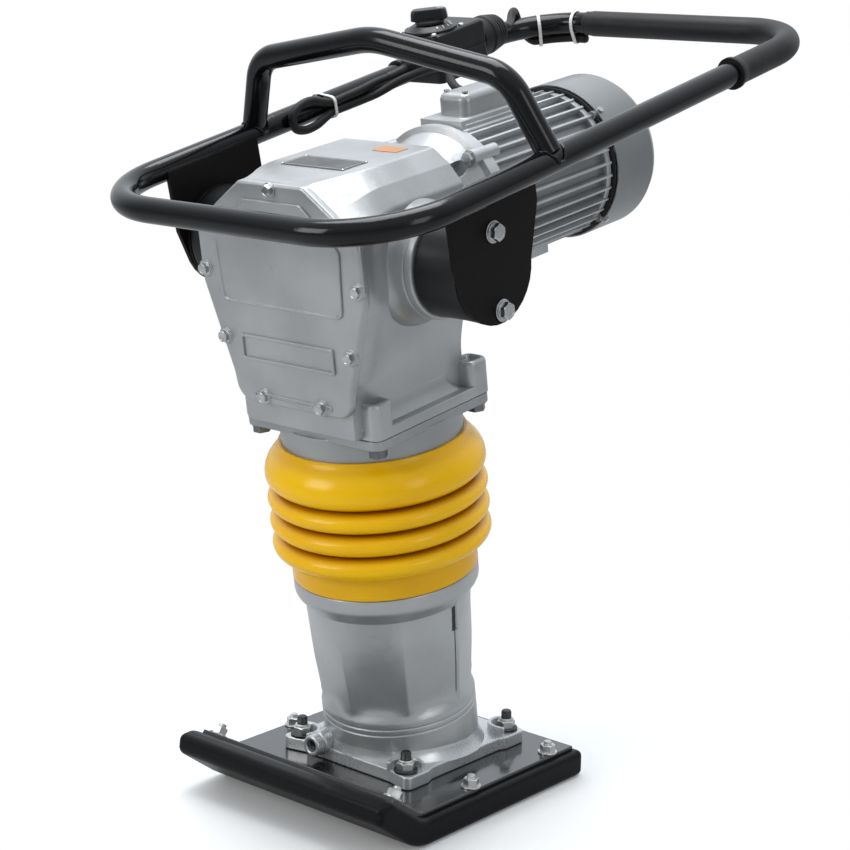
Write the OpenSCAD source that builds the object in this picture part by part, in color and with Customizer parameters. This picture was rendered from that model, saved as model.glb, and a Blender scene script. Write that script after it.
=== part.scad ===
// Tamping rammer with an electric motor, a crank drive, a sprung leg and a rubber-mounted handle.
// The origin lies on the floor under the middle of the foot. The toe points along -Y, the motor along +Y.

/* [Foot] */
// Width of the foot
foot_w = 300; // [260:1:340]
// Distance from the origin back to the heel
heel_y = 136; // [125:1:160]
// Distance from the origin forward to the place where the toe starts to curl
curl_y = 128; // [122:1:140]
// Angle of the curled toe
toe_a = 36; // [25:1:45]
// Outer bend radius under the toe
toe_r = 60; // [45:1:80]
// Length of the straight part of the toe, past the bend
toe_run = 60; // [45:1:70]
// Height of the toe's crest
crest_z = 67; // [60:1:75]
// Height of the blunt front of the toe
nose_h = 19; // [12:1:24]
// Thickness of the sole slab
sole_t = 30; // [22:1:40]
// Thickness of the steel shoe plate
shoe_t = 5; // [4:0.5:8]

/* [Foot bolts] */
// Distance of the leg bolts from the middle, across the foot
leg_bolt_x = 78; // [74:1:84]
// Distance of the leg bolts from the middle, along the foot
leg_bolt_y = 87; // [82:1:94]
// Radius of the leg bolts
leg_bolt_r = 6; // [5:0.5:7]
// Height of a leg bolt's end above its nut
leg_bolt_over = 9; // [3:0.5:14]
// Distance of the side bolts from the middle, across the foot
side_bolt_x = 134; // [130:1:138]
// Place of the front pair of side bolts
side_bolt_front_y = -43; // [-60:1:-20]
// Place of the back pair of side bolts
side_bolt_back_y = 93; // [80:1:105]
// Distance of the toe bolts from the middle, across the foot
toe_bolt_x = 131; // [120:1:136]
// Distance of the toe bolts up the toe, from the start of its slope
toe_bolt_run = 31; // [24:1:36]
// Radius of the sole bolts
sole_bolt_r = 5; // [4:0.5:6]

/* [Leg] */
// Angle that the leg leans forward
lean = 9.1; // [6:0.1:12]
// Distance behind the origin where the axis of the leg meets the floor
leg_y0 = 4; // [0:1:8]
// Thickness of the flange under the leg
leg_flange_t = 15; // [12:1:20]
// Radius of the ring at the root of the leg
leg_root_r = 87; // [84.5:0.5:90]
// Radius of the narrow part of the leg
leg_waist_r = 83; // [81:0.5:84]
// Radius of the leg below its collar
leg_neck_r = 92; // [88:0.5:94]
// Radius of the collar on the leg
collar_r = 102.4; // [100:0.2:106]
// Radius of the seats under the cuffs of the bellows
cuff_seat_r = 99; // [96:0.5:99.5]
// Height of the bottom of the bellows, along the leg
cuff_w = 262; // [256:1:264]
// Height of the top of the leg housing, along the leg
leg_top_w = 286; // [280:1:290]
// Height of the floor of the spring chamber, along the leg
chamber_w = 75; // [68:1:80]
// Free travel of the upper body above its stop
stroke = 50; // [40:1:60]

/* [Springs and piston] */
// Outer radius of the spring tube
tube_r = 78; // [76:0.5:79]
// Wall of the spring tube
tube_wall = 8; // [6:0.5:10]
// Height of the top of the spring tube, along the leg
tube_top_w = 376; // [368:1:380]
// Height of the underside of the spring cap, along the leg
cap_w = 306; // [296:1:312]
// Thickness of the spring cap
cap_t = 12; // [8:1:16]
// Height of the underside of the spring piston, along the leg
piston_w = 190; // [180:1:200]
// Thickness of the spring piston
piston_t = 12; // [8:1:16]
// Radius of the piston rod
piston_rod_r = 14; // [11:0.5:17]
// Mean radius of the springs
spring_r = 55; // [48:1:60]
// Radius of the spring wire
wire_r = 5; // [4:0.5:5.5]
// Number of curls in the lower spring
lower_curls = 6; // [4:1:7]
// Number of curls in the upper spring
upper_curls = 5; // [4:1:6]

/* [Bellows] */
// Radius of the ridges of the bellows
ridge_r = 120.5; // [115:0.5:126]
// Radius of the grooves of the bellows, outside
groove_r = 107; // [105:0.5:110]
// Wall of the bellows
bellows_wall = 3; // [2.5:0.5:4]
// Height of the lowest ridge, along the leg
first_ridge_w = 302.5; // [300:0.5:304]
// Number of even ridges below the wide top one
even_ridges = 3; // [3:1:3]
// Distance from the last even ridge up to the wide top one
top_ridge_step = 29; // [28:0.5:31]
// Distance from the top of the bellows up to the guide flange
bellows_under = 23; // [18:1:25]
// Distance from the top of the bellows down to the wide ridge
top_ridge_under = 34.5; // [32:0.5:37]

/* [Guide cylinder] */
// Outer radius of the guide cylinder inside the bellows
guide_r = 88; // [86:0.5:91]
// Height of the underside of the guide flange, along the leg
guide_flange_w = 441; // [438:1:443]
// Thickness of the guide flange
guide_flange_t = 10; // [8:1:14]
// Half width of the guide flange
flange_x = 97; // [95:1:102]
// Front edge of the guide flange
flange_front = -95; // [-98:1:-90]
// Back edge of the guide flange
flange_back = 90; // [86:1:96]
// Distance of the flange bolts in from the edges
flange_inset = 13; // [12:1:14]
// Wall of the guide bush
bush_wall = 5; // [4:0.5:6]

/* [Crank drive] */
// Module of the gear teeth
tooth_m = 1.75; // [1.5:0.05:1.8]
// Teeth on the crank gear
gear_z = 75; // [75:1:75]
// Teeth on the rotor pinion
pinion_z = 17; // [17:1:17]
// Radius of the crank
crank_r = 24; // [20:0.5:25]
// Radius of the crank pin
crank_pin_r = 11; // [9:0.5:11]
// Distance between the ends of the connecting rod
rod_len = 158; // [156:0.5:164]
// Half width of the connecting rod at its ends
rod_half = 14; // [10:0.5:14]
// Radius of the wrist pin
wrist_r = 8; // [6:0.5:9]
// Outer radius of the crosshead
crosshead_r = 47; // [46.5:0.5:50]
// Wall of the crosshead
crosshead_wall = 4; // [3:0.5:4]
// Width of the crank gear
gear_t = 24; // [20:1:26]
// Radius of the shafts at their bearings
journal_r = 15; // [12:0.5:15]
// Outer radius of the bearings
bearing_r = 31; // [28:0.5:33]
// Width of the bearings
bearing_t = 16; // [12:1:16]

/* [Crankcase] */
// Height of the top of the crankcase, along the leg
case_top_w = 720; // [718:1:724]
// Half width of the crankcase body
case_x = 101; // [100:1:104]
// Half width of the crankcase's front flange
face_x = 115; // [112:1:118]
// Front of the crankcase's flange
case_front = -104; // [-108:1:-102]
// Thickness of the crankcase's front flange
case_flange_t = 12; // [9:1:14]
// Back of the crankcase
case_back = 88; // [87:1:92]
// Wall of the crankcase
case_wall = 9; // [7:0.5:10]
// Thickness of the front cover
cover_t = 8; // [6:0.5:11]
// Height of the raised panels on the front cover
panel_t = 2.5; // [1.5:0.5:4]

/* [Motor] */
// Depth of the motor axis under the crankcase top
motor_under = 85; // [82:1:87]
// Start of the finned frame
frame_front = 150; // [146:1:156]
// End of the finned frame
frame_back = 345; // [335:1:355]
// Bore of the finned frame
frame_bore = 72; // [70:0.5:73]
// Radius of the fin tips
fin_tip_r = 85; // [82:0.5:88]
// Number of fins
fin_count = 36; // [28:1:44]
// Radius of the fan cover
fan_cover_r = 90; // [88:0.5:93]
// End of the fan cover
fan_cover_back = 430; // [420:1:440]
// Wall of the fan cover
fan_cover_wall = 2; // [1.5:0.5:3]
// Half width of the terminal box
terminal_x = 21; // [19:1:26]
// Height of the terminal box above its saddle
terminal_h = 25; // [22:1:32]

/* [Handle mounting] */
// Place of the trunnion behind the leg axis
trunnion_v = 9; // [4:1:14]
// Height of the trunnion, along the leg
trunnion_w = 616; // [612:1:620]
// Angle between the rails and the crankcase
rail_tilt = 4.1; // [2:0.1:7]
// Place of the mounts behind the trunnion
mount_u = -14; // [-18:1:-6]
// Height of the mounts above the trunnion
mount_t = 6; // [0:1:8]
// Radius of the bosses on the crankcase
boss_r = 57; // [55:0.5:60]
// Outer end of the bosses
boss_x = 133; // [128:1:138]
// Radius of the rubber mounts
mount_r = 53.5; // [50:0.5:55]
// Inner face of the side brackets
bracket_x = 192; // [188:1:194]
// Thickness of the side brackets
bracket_t = 5; // [4:0.5:7]
// Distance of the bracket bolts from the middle of the mounts
bracket_bolt_t = 41; // [39:1:42]
// Thickness of the plate on the end of a rubber mount
mount_plate_t = 4; // [3:0.5:6]

/* [Handle] */
// Radius of the handle tube
rail_r = 13.5; // [12.5:0.5:14]
// Distance of the rails from the middle
rail_x = 207.5; // [204:0.5:212]
// Height of the rails above the trunnion
rail_t = 93; // [90:1:96]
// Front bar, forward of the trunnion
front_u = -182; // [-190:1:-175]
// Rear bar, behind the trunnion
rear_u = 584; // [570:1:600]
// Bend radius of the handle's front corners
front_corner_r = 99; // [80:1:110]
// Bend radius of the handle's rear corners
rear_corner_r = 87; // [80:1:94]
// Place of the hoop along the rails
hoop_u = 75; // [68:1:80]
// Angle that the hoop leans forward
hoop_lean = 6; // [0:1:10]
// Height of the hoop's shoulders above the rails
shoulder_t = 88; // [80:1:98]
// Height of the hoop's peak above the rails
peak_t = 119; // [110:1:128]
// Distance of the hoop's shoulders from the middle
shoulder_x = 172; // [165:1:180]
// Bend radius of the hoop's shoulders
shoulder_r = 44; // [35:1:55]
// Bend radius of the hoop's peak
peak_r = 120; // [80:1:150]
// Outer radius of the grip sleeve
grip_r = 15.7; // [15:0.1:17]
// End of the grip sleeve on the right rail
grip_u = 405; // [380:1:420]
// End of the grip sleeve on the rear bar
grip_x = -118; // [-119:1:-100]

/* [Switch] */
// Middle of the switch housing across the handle
switch_x = -160; // [-160:1:-156]
// Front of the switch housing along the rails
switch_front = 307; // [302:1:312]
// Length of the switch housing
switch_len = 92; // [88:1:96]
// Width of the switch housing
switch_w = 66; // [60:1:66]
// Height of the bottom of the switch housing above the trunnion
switch_low_t = 88; // [86:1:92]
// Height of the top of the switch housing above the trunnion
switch_top_t = 146; // [142:1:150]
// Radius of the switch dial
dial_r = 31; // [26:1:32]
// Height of the switch dial
dial_h = 7; // [5:0.5:10]
// Length of the switch knob
knob_len = 44; // [38:1:50]
// Radius of the leads
lead_r = 5; // [4:0.5:5.5]

/* [Hidden] */
$fn = 64;
run_gap = 0.05;
soft_gap = 0.3;
flat_gap = 0.2;
shoe_top = sole_t + shoe_t;
leg_seat = shoe_top + leg_flange_t;
stop_t = 6;
guide_low_w = leg_top_w + stop_t + flat_gap;
mount_v = trunnion_v + mount_u * cos(rail_tilt) - mount_t * sin(rail_tilt);
mount_w = trunnion_w + mount_u * sin(rail_tilt) + mount_t * cos(rail_tilt);
guide_top_w = guide_flange_w + guide_flange_t;
guide_bore_r = tube_r + run_gap;
bush_r = crosshead_r + run_gap + bush_wall;
gear_r = tooth_m * gear_z / 2;
pinion_r = tooth_m * pinion_z / 2;
motor_w = case_top_w - motor_under;
gear_w = motor_w - gear_r - pinion_r;
crank_pin_w = gear_w + crank_r;
wrist_w = crank_pin_w - rod_len;
rod_play = 2;
rod_eye_r = 16;
big_eye_r = 24;
needle_t = 4;
gear_front = rod_half + rod_play + 4;
gear_back = gear_front + gear_t;
web_back = -(rod_half + rod_play);
web_t = 16;
web_front = web_back - web_t;
cup_low_w = wrist_w - 2 * crank_r - rod_eye_r - 16;
cup_floor_w = cup_low_w + 13;
cup_top_w = guide_top_w + 4;
gasket_t = 0.8;
cover_back = case_front - gasket_t;
cover_front = cover_back - cover_t;
rear_bearing_v = case_back - bearing_t - 4;
front_bearing_v = cover_back + 5;
bellows_top_w = guide_flange_w - bellows_under;
top_ridge_w = bellows_top_w - top_ridge_under;
ridge_pitch = (top_ridge_w - top_ridge_step - first_ridge_w) / (even_ridges - 1);
foot_bolts = [for (sx = [-1, 1], y = [side_bolt_front_y, side_bolt_back_y]) [sx * side_bolt_x, y]];
face_half = [[46, 718], [80, 693], [face_x, 667], [face_x, 606], [79, 497], [79, guide_top_w]];
body_half = [[63, case_top_w], [84, 704], [case_x, 684], [case_x, 606], [79, 510], [79, guide_top_w]];
cover_half = [[45, 717], [79.5, 692], [face_x - 1, 666], [face_x - 1, 606], [84, 508], [80, 478]];
panel_half = [[41, 699], [88, 655], [84, 586]];
cover_bolt_at = [[0, 711], [107, 618], [-107, 618], [88.5, 547], [-88.5, 547], [41, 486.5], [-41, 486.5]];
drain_at = [-40, -94];

function unit(v) = v / norm(v);
function fillet(p, q, s, r, n) = r <= 0 ? [q] :
    let (u = unit(p - q),
        v = unit(s - q),
        half = acos(u * v) / 2,
        c = q + unit(u + v) * r / sin(half),
        a = q + u * r / tan(half) - c,
        b = q + v * r / tan(half) - c,
        a0 = atan2(a[1], a[0]),
        d0 = atan2(b[1], b[0]) - a0,
        d = d0 > 180 ? d0 - 360 : d0 < -180 ? d0 + 360 : d0)
    [for (i = [0:n]) c + r * [cos(a0 + d * i / n), sin(a0 + d * i / n)]];
function rounded(pts, r, n = 4) = [for (i = [0:len(pts) - 1])
    each fillet(pts[(i + len(pts) - 1) % len(pts)], pts[i], pts[(i + 1) % len(pts)], r, n)];
function both_sides(half) = concat(half, [for (i = [len(half) - 1:-1:0]) [-half[i][0], half[i][1]]]);
function box_pts(x, y) = [[x, -y], [x, y], [-x, y], [-x, -y]];

// Frames: the leaning upper body, and the handle on its trunnion
module on_leg() translate([0, leg_y0, 0]) rotate([lean, 0, 0]) children();
module on_handle() on_leg() translate([0, trunnion_v, trunnion_w]) rotate([rail_tilt, 0, 0]) children();

// Shapes along the motor's direction, and across the machine
module plate_v(v0, v1, w = 0) translate([0, v1, w]) rotate([90, 0, 0]) linear_extrude(v1 - v0) children();
module cyl_v(r, v0, v1, x = 0, w = 0) translate([x, v1, w]) rotate([90, 0, 0]) cylinder(r = r, h = v1 - v0);
module cyl_x(r, x0, x1, v = 0, w = 0) translate([x0, v, w]) rotate([0, 90, 0]) cylinder(r = r, h = x1 - x0);
module hex(r, h) cylinder(r = r, h = h, $fn = 6);
module ring(r_out, r_in, h) difference() {
    cylinder(r = r_out, h = h);
    translate([0, 0, -1]) cylinder(r = r_in, h = h + 2);
}
module four_at(x, y) for (sx = [-1, 1], sy = [-1, 1]) translate([sx * x, sy * y, 0]) children();

// A tube swept along points, with frames carried from ring to ring
function tangent(p, i) = unit(p[min(i + 1, len(p) - 1)] - p[max(i - 1, 0)]);
function carry(p, i, n) = unit(n - tangent(p, i) * (n * tangent(p, i)));
function normals(p, n0, i = 0) = i >= len(p) ? [] : let (n = carry(p, i, n0)) concat([n], normals(p, n, i + 1));
function rings(p, r, k, n0) = let (ns = normals(p, n0))
    [for (i = [0:len(p) - 1], j = [0:k - 1])
        let (b = cross(tangent(p, i), ns[i]), a = 360 * j / k) p[i] + r * (ns[i] * cos(a) + b * sin(a))];
function walls(n, k) = [for (i = [0:n - 2], j = [0:k - 1])
    let (a = i * k + j, b = i * k + (j + 1) % k) each [[a, a + k, b], [b, a + k, b + k]]];
function caps(n, k) = concat([for (j = [1:k - 2]) [0, j, j + 1]],
    [for (j = [1:k - 2]) [(n - 1) * k, (n - 1) * k + j + 1, (n - 1) * k + j]]);
module swept(p, r, k, n0) polyhedron(rings(p, r, k, n0), concat(walls(len(p), k), caps(len(p), k)));
function bend_at(p, i) = p[max(0, min(len(p) - 1, i))];
function smooth(p, s) = concat([for (i = [0:len(p) - 2], j = [0:s - 1])
    let (t = j / s, a = bend_at(p, i - 1), b = p[i], c = p[i + 1], d = bend_at(p, i + 2))
    0.5 * (2 * b + (c - a) * t + (2 * a - 5 * b + 4 * c - d) * t * t + (3 * b - a - 3 * c + d) * t * t * t)],
    [p[len(p) - 1]]);

// One gear wheel outline with involute flanks
function involute(a) = tan(a) * 180 / PI - a;
function flank(r, rb) = involute(acos(min(1, rb / r)));
function gear_pts(z, play) = let (r = tooth_m * z / 2,
        rb = r * cos(20),
        root = r - 1.25 * tooth_m,
        low = max(rb, root),
        tip = r + tooth_m,
        half = 90 / z - play / r * 180 / PI / 2 + involute(20),
        steps = [for (i = [0:3]) low + (tip - low) * i / 3])
    [for (k = [0:z - 1]) let (c = 360 * k / z)
        each concat([root * [cos(c - half), sin(c - half)]],
            [for (s = steps) s * [cos(c - half + flank(s, rb)), sin(c - half + flank(s, rb))]],
            [for (i = [3:-1:0]) steps[i] * [cos(c + half - flank(steps[i], rb)), sin(c + half - flank(steps[i], rb))]],
            [root * [cos(c + half), sin(c + half)]])];

// Foot
toe_top = [-curl_y - toe_r * sin(toe_a), toe_r * (1 - cos(toe_a))];
toe_dir = [-cos(toe_a), sin(toe_a)];
toe_up = [sin(toe_a), cos(toe_a)];
function under_toe(off, run) = concat([for (i = [0:4])
    let (a = toe_a * i / 4) [-curl_y - (toe_r - off) * sin(a), toe_r - (toe_r - off) * cos(a)]],
    [toe_top + toe_up * off + toe_dir * run]);
function run_to_crest(off) = (crest_z - toe_top[1] - toe_up[1] * off) / toe_dir[1];
function reversed(p) = [for (i = [len(p) - 1:-1:0]) p[i]];
nose = toe_top + toe_dir * toe_run + [3, nose_h];
module foot_side(pts) translate([-foot_w / 2, 0, 0]) rotate([90, 0, 90]) linear_extrude(foot_w) polygon(pts);
function above_toe(off) = concat(reversed(under_toe(off, run_to_crest(off))), [[heel_y, off]]);
toe_bolt_spot = toe_top + toe_up * shoe_top + toe_dir * toe_bolt_run;
module toe_bolt_places() for (sx = [-1, 1]) translate([sx * toe_bolt_x, toe_bolt_spot[0], toe_bolt_spot[1]])
    rotate([-toe_a, 0, 0]) children();
module side_bolt_places() for (p = foot_bolts) translate([p[0], p[1], shoe_top]) children();
sole_hole = sole_bolt_r + 0.5;
module sole_holes() {
    side_bolt_places() translate([0, 0, -shoe_top - 1]) cylinder(r = sole_hole, h = shoe_top + 2);
    toe_bolt_places() translate([0, 0, -shoe_top - 9]) cylinder(r = sole_hole, h = shoe_top + 20);
}
sole_cup_r = 13;
sole_cup_t = 12;
leg_bolt_hole = leg_bolt_r + 0.5;
module leg_bolt_holes(z, h) four_at(leg_bolt_x, leg_bolt_y) translate([0, 0, z]) cylinder(r = leg_bolt_hole, h = h);
leg_head_r = 12;
leg_head_t = 8;
module sole_slab() color("#1c1c1e") difference() {
    foot_side(concat([[heel_y, 0]], under_toe(0, toe_run), [nose], above_toe(sole_t)));
    sole_holes();
    side_bolt_places() translate([0, 0, -shoe_top - 1]) cylinder(r = sole_cup_r, h = sole_cup_t + 1);
    toe_bolt_places() translate([0, 0, -shoe_top - 9]) cylinder(r = sole_cup_r, h = sole_cup_t + 9);
    four_at(leg_bolt_x, leg_bolt_y) translate([0, 0, sole_t - leg_head_t - 1])
        cylinder(r = leg_head_r + 2, h = leg_head_t + 2);
}
module shoe_plate() color("#26272a") difference() {
    foot_side(concat(reversed(above_toe(sole_t)), above_toe(shoe_top)));
    sole_holes();
    leg_bolt_holes(sole_t - 1, shoe_t + 2);
}
sole_washer_t = 2;
sole_nut_t = 8;
module sole_bolt() {
    translate([0, 0, sole_cup_t - shoe_top - 6]) cylinder(r = sole_cup_r - 2, h = 6);
    translate([0, 0, sole_cup_t - shoe_top]) cylinder(r = sole_bolt_r, h = shoe_top - sole_cup_t + 14);
}
module sole_nut() {
    ring(sole_bolt_r * 2.2, sole_bolt_r, sole_washer_t);
    translate([0, 0, sole_washer_t]) difference() {
        hex(sole_bolt_r * 1.75, sole_nut_t);
        translate([0, 0, -1]) cylinder(r = sole_bolt_r, h = sole_nut_t + 2);
    }
}
module sole_bolts() color("#b9bcc0") {
    side_bolt_places() sole_bolt();
    side_bolt_places() sole_nut();
    toe_bolt_places() sole_bolt();
    toe_bolt_places() sole_nut();
}

// Leg
flange_pts = both_sides([[62, -96], [leg_bolt_x + 17, -104], [leg_bolt_x + 17, -68], [91, -58], [91, 58],
    [leg_bolt_x + 17, 68], [leg_bolt_x + 17, 104], [62, 96]]);
leg_profile = [[0, 30], [leg_root_r, 30], [leg_root_r, 108], [leg_waist_r, 116], [leg_waist_r, 128],
    [leg_neck_r, 230], [collar_r - 6, 236], [collar_r, 244], [collar_r, cuff_w - 1],
    [cuff_seat_r, cuff_w - 1], [cuff_seat_r, leg_top_w], [0, leg_top_w]];
drain_r = 7;
module leg_housing() color("#b8bbbd") difference() {
    union() {
        intersection() {
            on_leg() rotate_extrude() polygon(leg_profile);
            translate([-150, -150, shoe_top]) cube([300, 300, 400]);
        }
        translate([0, 0, shoe_top]) linear_extrude(leg_flange_t) polygon(rounded(flange_pts, 8));
        translate([drain_at[0], drain_at[1], shoe_top]) cylinder(r = 13, h = 29);
    }
    on_leg() translate([0, 0, chamber_w]) cylinder(r = tube_r, h = 300);
    leg_bolt_holes(shoe_top - 1, leg_flange_t + 60);
    translate([drain_at[0], drain_at[1] - 14, leg_seat + 4]) rotate([-90, 0, 0]) cylinder(r = drain_r, h = 12);
}
module drain_plug() color("#9a9ca0") translate([drain_at[0], drain_at[1] - 14, leg_seat + 4]) {
    rotate([-90, 0, 0]) cylinder(r = drain_r, h = 12);
    rotate([90, 0, 0]) hex(drain_r * 1.3, 5);
}
washer_t = 3;
nut_t = 11;
module leg_studs() color("#1a1a1c") four_at(leg_bolt_x, leg_bolt_y) {
    translate([0, 0, sole_t - leg_head_t]) hex(leg_head_r, leg_head_t);
    translate([0, 0, sole_t]) cylinder(r = leg_bolt_r, h = shoe_t + leg_flange_t + washer_t + nut_t + leg_bolt_over);
}
module leg_washers() color("#232326") four_at(leg_bolt_x, leg_bolt_y)
    translate([0, 0, leg_seat]) ring(leg_bolt_r * 2.2, leg_bolt_r, washer_t);
module leg_nuts() color("#c3c6ca") four_at(leg_bolt_x, leg_bolt_y) translate([0, 0, leg_seat + washer_t]) difference() {
    union() {
        hex(leg_bolt_r * 1.75, nut_t - 3);
        translate([0, 0, nut_t - 3]) cylinder(r = leg_bolt_r * 1.4, h = 3);
    }
    translate([0, 0, -1]) cylinder(r = leg_bolt_r, h = nut_t + 2);
}

// Springs and piston inside the leg
cap_bore_r = piston_rod_r + run_gap;
module spring_tube() color("#8f9296") on_leg() translate([0, 0, chamber_w])
    ring(tube_r, tube_r - tube_wall, tube_top_w - chamber_w);
module spring_cap() color("#84878b") on_leg() translate([0, 0, cap_w]) ring(tube_r - tube_wall, cap_bore_r, cap_t);
module spring_piston() color("#7d8084") on_leg() translate([0, 0, piston_w])
    ring(tube_r - tube_wall - run_gap, piston_rod_r, piston_t);
module piston_rod() color("#a9acb0") on_leg() {
    translate([0, 0, piston_w - 8]) hex(piston_rod_r * 1.5, 8);
    translate([0, 0, piston_w]) cylinder(r = piston_rod_r, h = cup_low_w + 8 - piston_w);
}
module crosshead() color("#9fa2a6") on_leg() difference() {
    translate([0, 0, cup_low_w]) cylinder(r = crosshead_r, h = cup_top_w - cup_low_w);
    translate([0, 0, cup_floor_w]) cylinder(r = crosshead_r - crosshead_wall, h = cup_top_w);
    translate([0, 0, cup_low_w - 1]) cylinder(r = piston_rod_r, h = 9);
}
coil_rings = 8;
function coil(curls, low, high) = [for (i = [0:curls * coil_rings])
    let (a = 360 * i / coil_rings)
    [spring_r * cos(a), spring_r * sin(a), low + (high - low) * i / (curls * coil_rings)]];
function least(p, skip) = min([for (i = [0:len(p) - 1 - skip], j = [i + skip:len(p) - 1]) norm(p[i] - p[j])]);
lower_coil = coil(lower_curls, chamber_w + wire_r + soft_gap, piston_w - wire_r - soft_gap);
upper_coil = coil(upper_curls, piston_w + piston_t + wire_r + soft_gap, cap_w - wire_r - soft_gap);
echo("least gap between the curls", least(lower_coil, 5) - 2 * wire_r, least(upper_coil, 5) - 2 * wire_r);
module lower_spring() color("#5d6064") on_leg() swept(lower_coil, wire_r, 6, [1, 0, 0]);
module upper_spring() color("#5d6064") on_leg() swept(upper_coil, wire_r, 6, [1, 0, 0]);
module stop_ring() color("#202022") on_leg() translate([0, 0, leg_top_w]) ring(guide_r, tube_r + soft_gap, stop_t);

// Bellows
wave_steps = 5;
cuff_r = cuff_seat_r + soft_gap + bellows_wall;
wave_marks = concat([[cuff_r, cuff_w], [cuff_r, first_ridge_w - ridge_pitch * 0.62]],
    [for (i = [0:even_ridges - 1]) each [[ridge_r, first_ridge_w + i * ridge_pitch],
        [groove_r, first_ridge_w + i * ridge_pitch + (i < even_ridges - 1 ? ridge_pitch : top_ridge_step) / 2]]],
    [[ridge_r, top_ridge_w], [cuff_r, bellows_top_w - 8], [cuff_r, bellows_top_w]]);
function wave(p, k) = concat([for (i = [0:len(p) - 2], j = [0:k - 1])
    let (t = j / k, s = (1 - cos(180 * t)) / 2)
    [p[i][0] + (p[i + 1][0] - p[i][0]) * s, p[i][1] + (p[i + 1][1] - p[i][1]) * t]], [p[len(p) - 1]]);
outer_wave = wave(wave_marks, wave_steps);
module bellows() color("#f2b705") on_leg() rotate_extrude()
    polygon(concat(outer_wave, [for (i = [len(outer_wave) - 1:-1:0]) outer_wave[i] - [bellows_wall, 0]]));

// Guide cylinder
flange_mid = (flange_back + flange_front) / 2;
flange_y = (flange_back - flange_front) / 2;
bolt_x = flange_x - flange_inset;
bolt_y = flange_y - flange_inset;
module flange_plate(t) linear_extrude(t) polygon(rounded(box_pts(flange_x, flange_y), 13));
module flange_bolt_places(w) translate([0, flange_mid, w]) four_at(bolt_x, bolt_y) children();
guide_profile = [[guide_bore_r, guide_low_w], [guide_r, guide_low_w], [guide_r, bellows_top_w - 28],
    [cuff_seat_r, bellows_top_w - 18], [cuff_seat_r, guide_flange_w + 2], [bush_r, guide_flange_w + 2],
    [bush_r, tube_top_w + 2], [guide_bore_r, tube_top_w + 2]];
flange_bolt_r = 6;
module guide_cylinder() color("#b2b5b8") on_leg() difference() {
    union() {
        rotate_extrude() polygon(guide_profile);
        translate([0, flange_mid, guide_flange_w]) flange_plate(guide_flange_t);
    }
    translate([0, 0, guide_flange_w - 1]) cylinder(r = bush_r, h = guide_flange_t + 2);
    flange_bolt_places(guide_flange_w - 1) cylinder(r = flange_bolt_r, h = guide_flange_t + 2);
    translate([0, flange_mid, guide_flange_w - 13]) four_at(bolt_x, bolt_y) cylinder(r = 12, h = 13);
}
module guide_bush() color("#a8824a") on_leg() translate([0, 0, tube_top_w + 2])
    ring(bush_r, crosshead_r + run_gap, guide_top_w - tube_top_w - 2);
case_thread = 22;
module flange_bolts() color("#b4b7ba") on_leg() flange_bolt_places(guide_flange_w) {
    translate([0, 0, -2]) cylinder(r = 11, h = 2);
    translate([0, 0, -10]) hex(10, 8);
    cylinder(r = flange_bolt_r, h = guide_flange_t + case_thread);
}

// Crankcase
case_bolt_r = 4;
lug_r = 78;
lug_a = [45, 135, 225, 315];
module lug_places(r) for (a = lug_a) translate([r * cos(a), 0, r * sin(a)]) children();
inner_half = [[38, case_top_w - case_wall], [70, 700 - case_wall], [case_x - case_wall, 680],
    [case_x - case_wall, 606 + case_wall * 0.2], [79 - case_wall, 510], [79 - case_wall, guide_top_w - 1]];
window_half = [for (p = cover_half) [p[0] * 0.86, 598 + (p[1] - 598) * 0.86]];
body_front = -38;
body_back = 66;
cavity_back = 57;
boss_in = case_x - case_wall - 7;
module case_body() {
    plate_v(body_front, body_back) polygon(rounded(both_sides(body_half), 7));
    plate_v(body_back - 1, case_back) polygon(rounded([for (p = box_pts(74, 97)) p + [0, 612]], 60, 8));
    hull() {
        plate_v(case_front, case_front + case_flange_t) polygon(rounded(both_sides(face_half), 7, 2));
        plate_v(body_front - 2, body_front) polygon(rounded(both_sides(body_half), 7, 2));
    }
}
module crankcase() color("#c4c7c9") on_leg() difference() {
    union() {
        case_body();
        translate([0, flange_mid, guide_top_w]) flange_plate(12);
        for (sx = [-1, 1], sy = [-1, 1]) translate([sx * bolt_x, flange_mid + sy * bolt_y, guide_top_w])
            cylinder(r = flange_inset, h = 34);
        for (s = [-1, 1]) cyl_x(boss_r, s > 0 ? boss_in : -boss_x, s > 0 ? boss_x : -boss_in, mount_v, mount_w);
    }
    plate_v(case_front + case_wall, cavity_back) polygon(rounded(both_sides(inner_half), 5));
    plate_v(case_front - 1, case_front + case_wall + 1) polygon(both_sides(window_half));
    translate([0, 0, guide_top_w - 1]) cylinder(r = bush_r + 3, h = 20);
    for (w = [gear_w, motor_w]) cyl_v(bearing_r, rear_bearing_v - 1, rear_bearing_v + bearing_t, 0, w);
    cyl_v(journal_r + 3, cavity_back - 1, case_back + 1, 0, motor_w);
    cyl_v(journal_r + 6, cavity_back - 1, rear_bearing_v, 0, gear_w);
    translate([0, 0, motor_w]) lug_places(lug_r - 12) cyl_v(case_bolt_r, case_back - 14, case_back + 1);
    for (p = cover_bolt_at) cyl_v(case_bolt_r, case_front - 1, case_front + case_flange_t - 2, p[0], p[1]);
    flange_bolt_places(guide_top_w - 1) cylinder(r = flange_bolt_r, h = case_thread + 1);
}
module cover_outline() polygon(rounded(both_sides(cover_half), 12, 4));
module cover_gasket() color("#3a3a3c") on_leg() difference() {
    plate_v(cover_back, case_front) cover_outline();
    plate_v(cover_back - 1, case_front + 1) polygon(both_sides(window_half));
    for (p = cover_bolt_at) cyl_v(case_bolt_r, cover_back - 1, case_front + 1, p[0], p[1]);
}
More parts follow.
